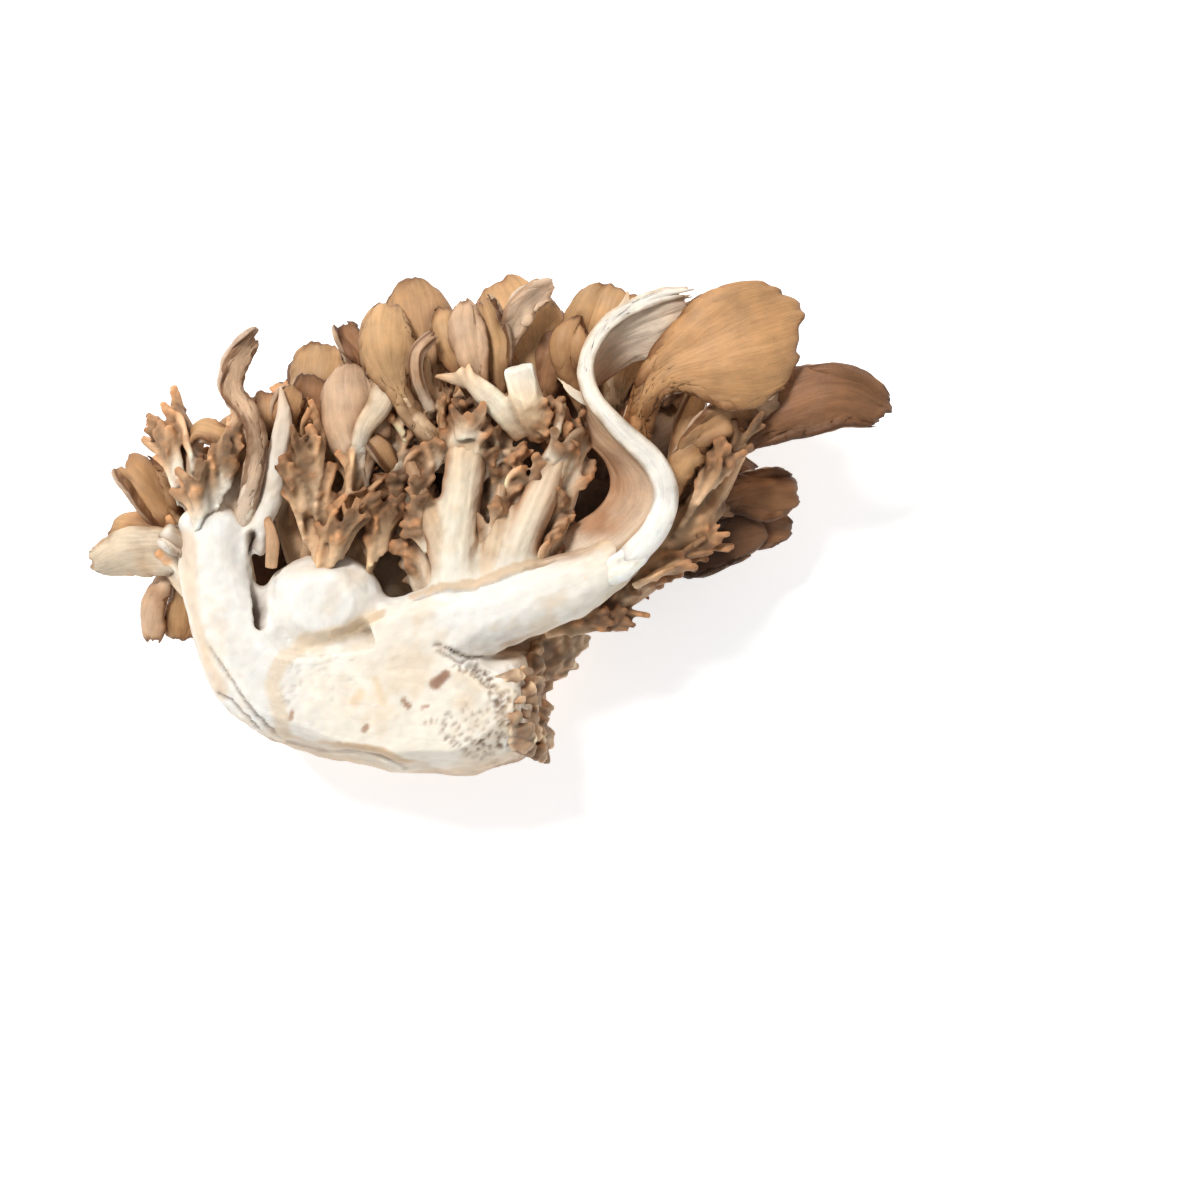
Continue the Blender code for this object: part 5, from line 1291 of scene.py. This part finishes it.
def fungus(name, streaks, lanes, blotches, bump, rough_range, margin):
    """Skin or flesh: its colour from the mesh, with fibres, blotches, pores and a thin margin on it."""
    n = Nodes(name)
    colour = n.attribute("tint", "Color")
    grain = n.attribute("grain", "Vector")
    place = n.add("TexCoord").outputs["Object"]
    fibre = n.noise(n.scaled(grain, (lanes, lanes * 0.07, 1)), 1.0, 4.0, 0.6)
    thread = n.noise(n.scaled(grain, (lanes * 3.5, lanes * 0.2, 1)), 1.0, 2.0)
    blotch = n.noise(place, BLOTCH_SCALE, 4.0, 0.6)
    fine = n.noise(place, FINE_SCALE, 3.0, 0.6)
    shade = n.ranged(fibre, *NOISE_SPAN, -streaks, streaks)
    shade = n.math("ADD", shade, n.ranged(thread, *NOISE_SPAN, -streaks * 0.5, streaks * 0.5))
    shade = n.math("ADD", shade, n.ranged(blotch, *NOISE_SPAN, -blotches, blotches))
    shade = n.math("ADD", shade, 1.0)
    gain = n.add("VectorMath", operation="SCALE")
    n.link(colour, gain.inputs[0])
    n.link(shade, gain.inputs["Scale"])
    lit = gain.outputs[0]
    warm = n.mix(n.ranged(blotch, 0.45, 0.75, 0, 0.35), lit, WARM, "MULTIPLY")
    if margin:
        edge = n.math("ADD", n.attribute("edge"), n.ranged(blotch, *NOISE_SPAN, -0.3, 0.3))
        warm = n.mix(n.ranged(edge, 0.1, 1.1, 0.6, 0), warm, RIM_BROWN, "MULTIPLY")
        pore = n.add("TexVoronoi")
        pore.inputs["Scale"].default_value = PORE_SCALE
        n.link(place, pore.inputs["Vector"])
        dots = n.ranged(pore.outputs["Distance"], 0.05, 0.35, 0.3, 0)
        warm = n.mix(n.math("MULTIPLY", dots, n.attribute("pore")), warm, PORE_BROWN)
    n.link(warm, n.shader.inputs["Base Color"])
    n.link(n.ranged(blotch, *NOISE_SPAN, *rough_range), n.shader.inputs["Roughness"])
    height = n.math("ADD", fibre, n.math("MULTIPLY", thread, 0.5))
    height = n.math("ADD", height, n.math("MULTIPLY", fine, 0.5))
    relief = n.add("Bump")
    relief.inputs["Strength"].default_value = bump
    relief.inputs["Distance"].default_value = BUMP_HEIGHT
    n.link(height, relief.inputs["Height"])
    n.link(relief.outputs["Normal"], n.shader.inputs["Normal"])
    n.put(Specular_IOR_Level=SHINE, Subsurface_Weight=UNDER_SKIN_SHARE, Subsurface_Radius=UNDER_SKIN,
          Subsurface_Scale=UNDER_SKIN_DEPTH)
    return n.material


def floor():
    """The white table that it lies on."""
    mesh = bpy.data.meshes.new("floor")
    corners = [(x * FLOOR_HALF, y * FLOOR_HALF, 0) for x, y in ((-1, -1), (1, -1), (1, 1), (-1, 1))]
    mesh.from_pydata(corners, [], [(0, 1, 2, 3)])
    obj = placed("floor", mesh)
    n = Nodes("floor")
    dust = n.noise(n.add("TexCoord").outputs["Object"], DUST_SCALE, 2.0)
    n.link(n.ranged(dust, *NOISE_SPAN, 0.6, 0.7), n.shader.inputs["Roughness"])
    n.put(Base_Color=FLOOR_GREY, Specular_IOR_Level=0.0, Emission_Color=WHITE_LIGHT,
          Emission_Strength=FLOOR_GLOW)
    mesh.materials.append(n.material)


def light():
    """A soft sun from the upper left, and an even sky."""
    sun = bpy.data.lights.new("sun", "SUN")
    sun.energy = SUN_STRENGTH
    sun.angle = SUN_ANGLE
    placed("sun", sun).rotation_euler = Vector(SUN_WAY).to_track_quat("-Z", "Y").to_euler()
    world = bpy.data.worlds.new("studio")
    world.use_nodes = True
    background = world.node_tree.nodes["Background"]
    background.inputs["Color"].default_value = WHITE_LIGHT
    background.inputs["Strength"].default_value = SKY
    bpy.context.scene.world = world


def camera():
    """A camera that looks straight down."""
    lens = bpy.data.cameras.new("camera")
    lens.lens = CAMERA_LENS
    lens.sensor_width = CAMERA_SENSOR
    obj = placed("camera", lens)
    obj.location = CAMERA_PLACE
    bpy.context.scene.camera = obj


def build():
    """All the pieces, with painted shade where other skin stands close round them."""
    skin = fungus("skin", 0.12, 1.3, 0.12, 0.40, (0.55, 0.7), False)
    blade = fungus("blade", 0.12, 1.1, 0.15, 0.45, (0.45, 0.6), True)
    meat = fungus("meat", 0.04, 0.9, 0.04, 0.30, (0.6, 0.75), False)
    foot = flesh()
    made = [("flesh", foot, "cut_base", meat, 0.55), ("bark", bark(foot), "cut_base", skin, 1.2)]
    for k, name in enumerate(LOOKS):
        made.append((name + "_blades", spray_caps(name, k), name, blade, 1.0))
        surface = spray_skin(name, k)
        if surface:
            made.append((name + "_skin", surface, name, skin, 1.0))
    start, run = CREVICE_RANGE
    shut = crevices([piece[1] for piece in made])
    for (name, surface, node, look, strength), closed in zip(made, shut):
        # Painted shade: darker where other skin stands close round each point.
        dark = ease((closed - start) / run)[:, None] * strength
        surface["tint"] = np.clip(surface["tint"] * (1 - CREVICE_SHADE_TINT * dark), 0, 1)
        dressed(name, surface, node, look)


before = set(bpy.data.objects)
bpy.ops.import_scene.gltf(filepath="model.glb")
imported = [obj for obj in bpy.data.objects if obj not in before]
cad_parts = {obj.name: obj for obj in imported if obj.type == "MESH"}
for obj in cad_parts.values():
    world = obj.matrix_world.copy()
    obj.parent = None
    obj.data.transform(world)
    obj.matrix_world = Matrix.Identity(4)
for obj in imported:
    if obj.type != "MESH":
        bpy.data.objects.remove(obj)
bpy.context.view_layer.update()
build()
floor()
light()
camera()
bpy.context.scene.view_settings.view_transform = "Standard"
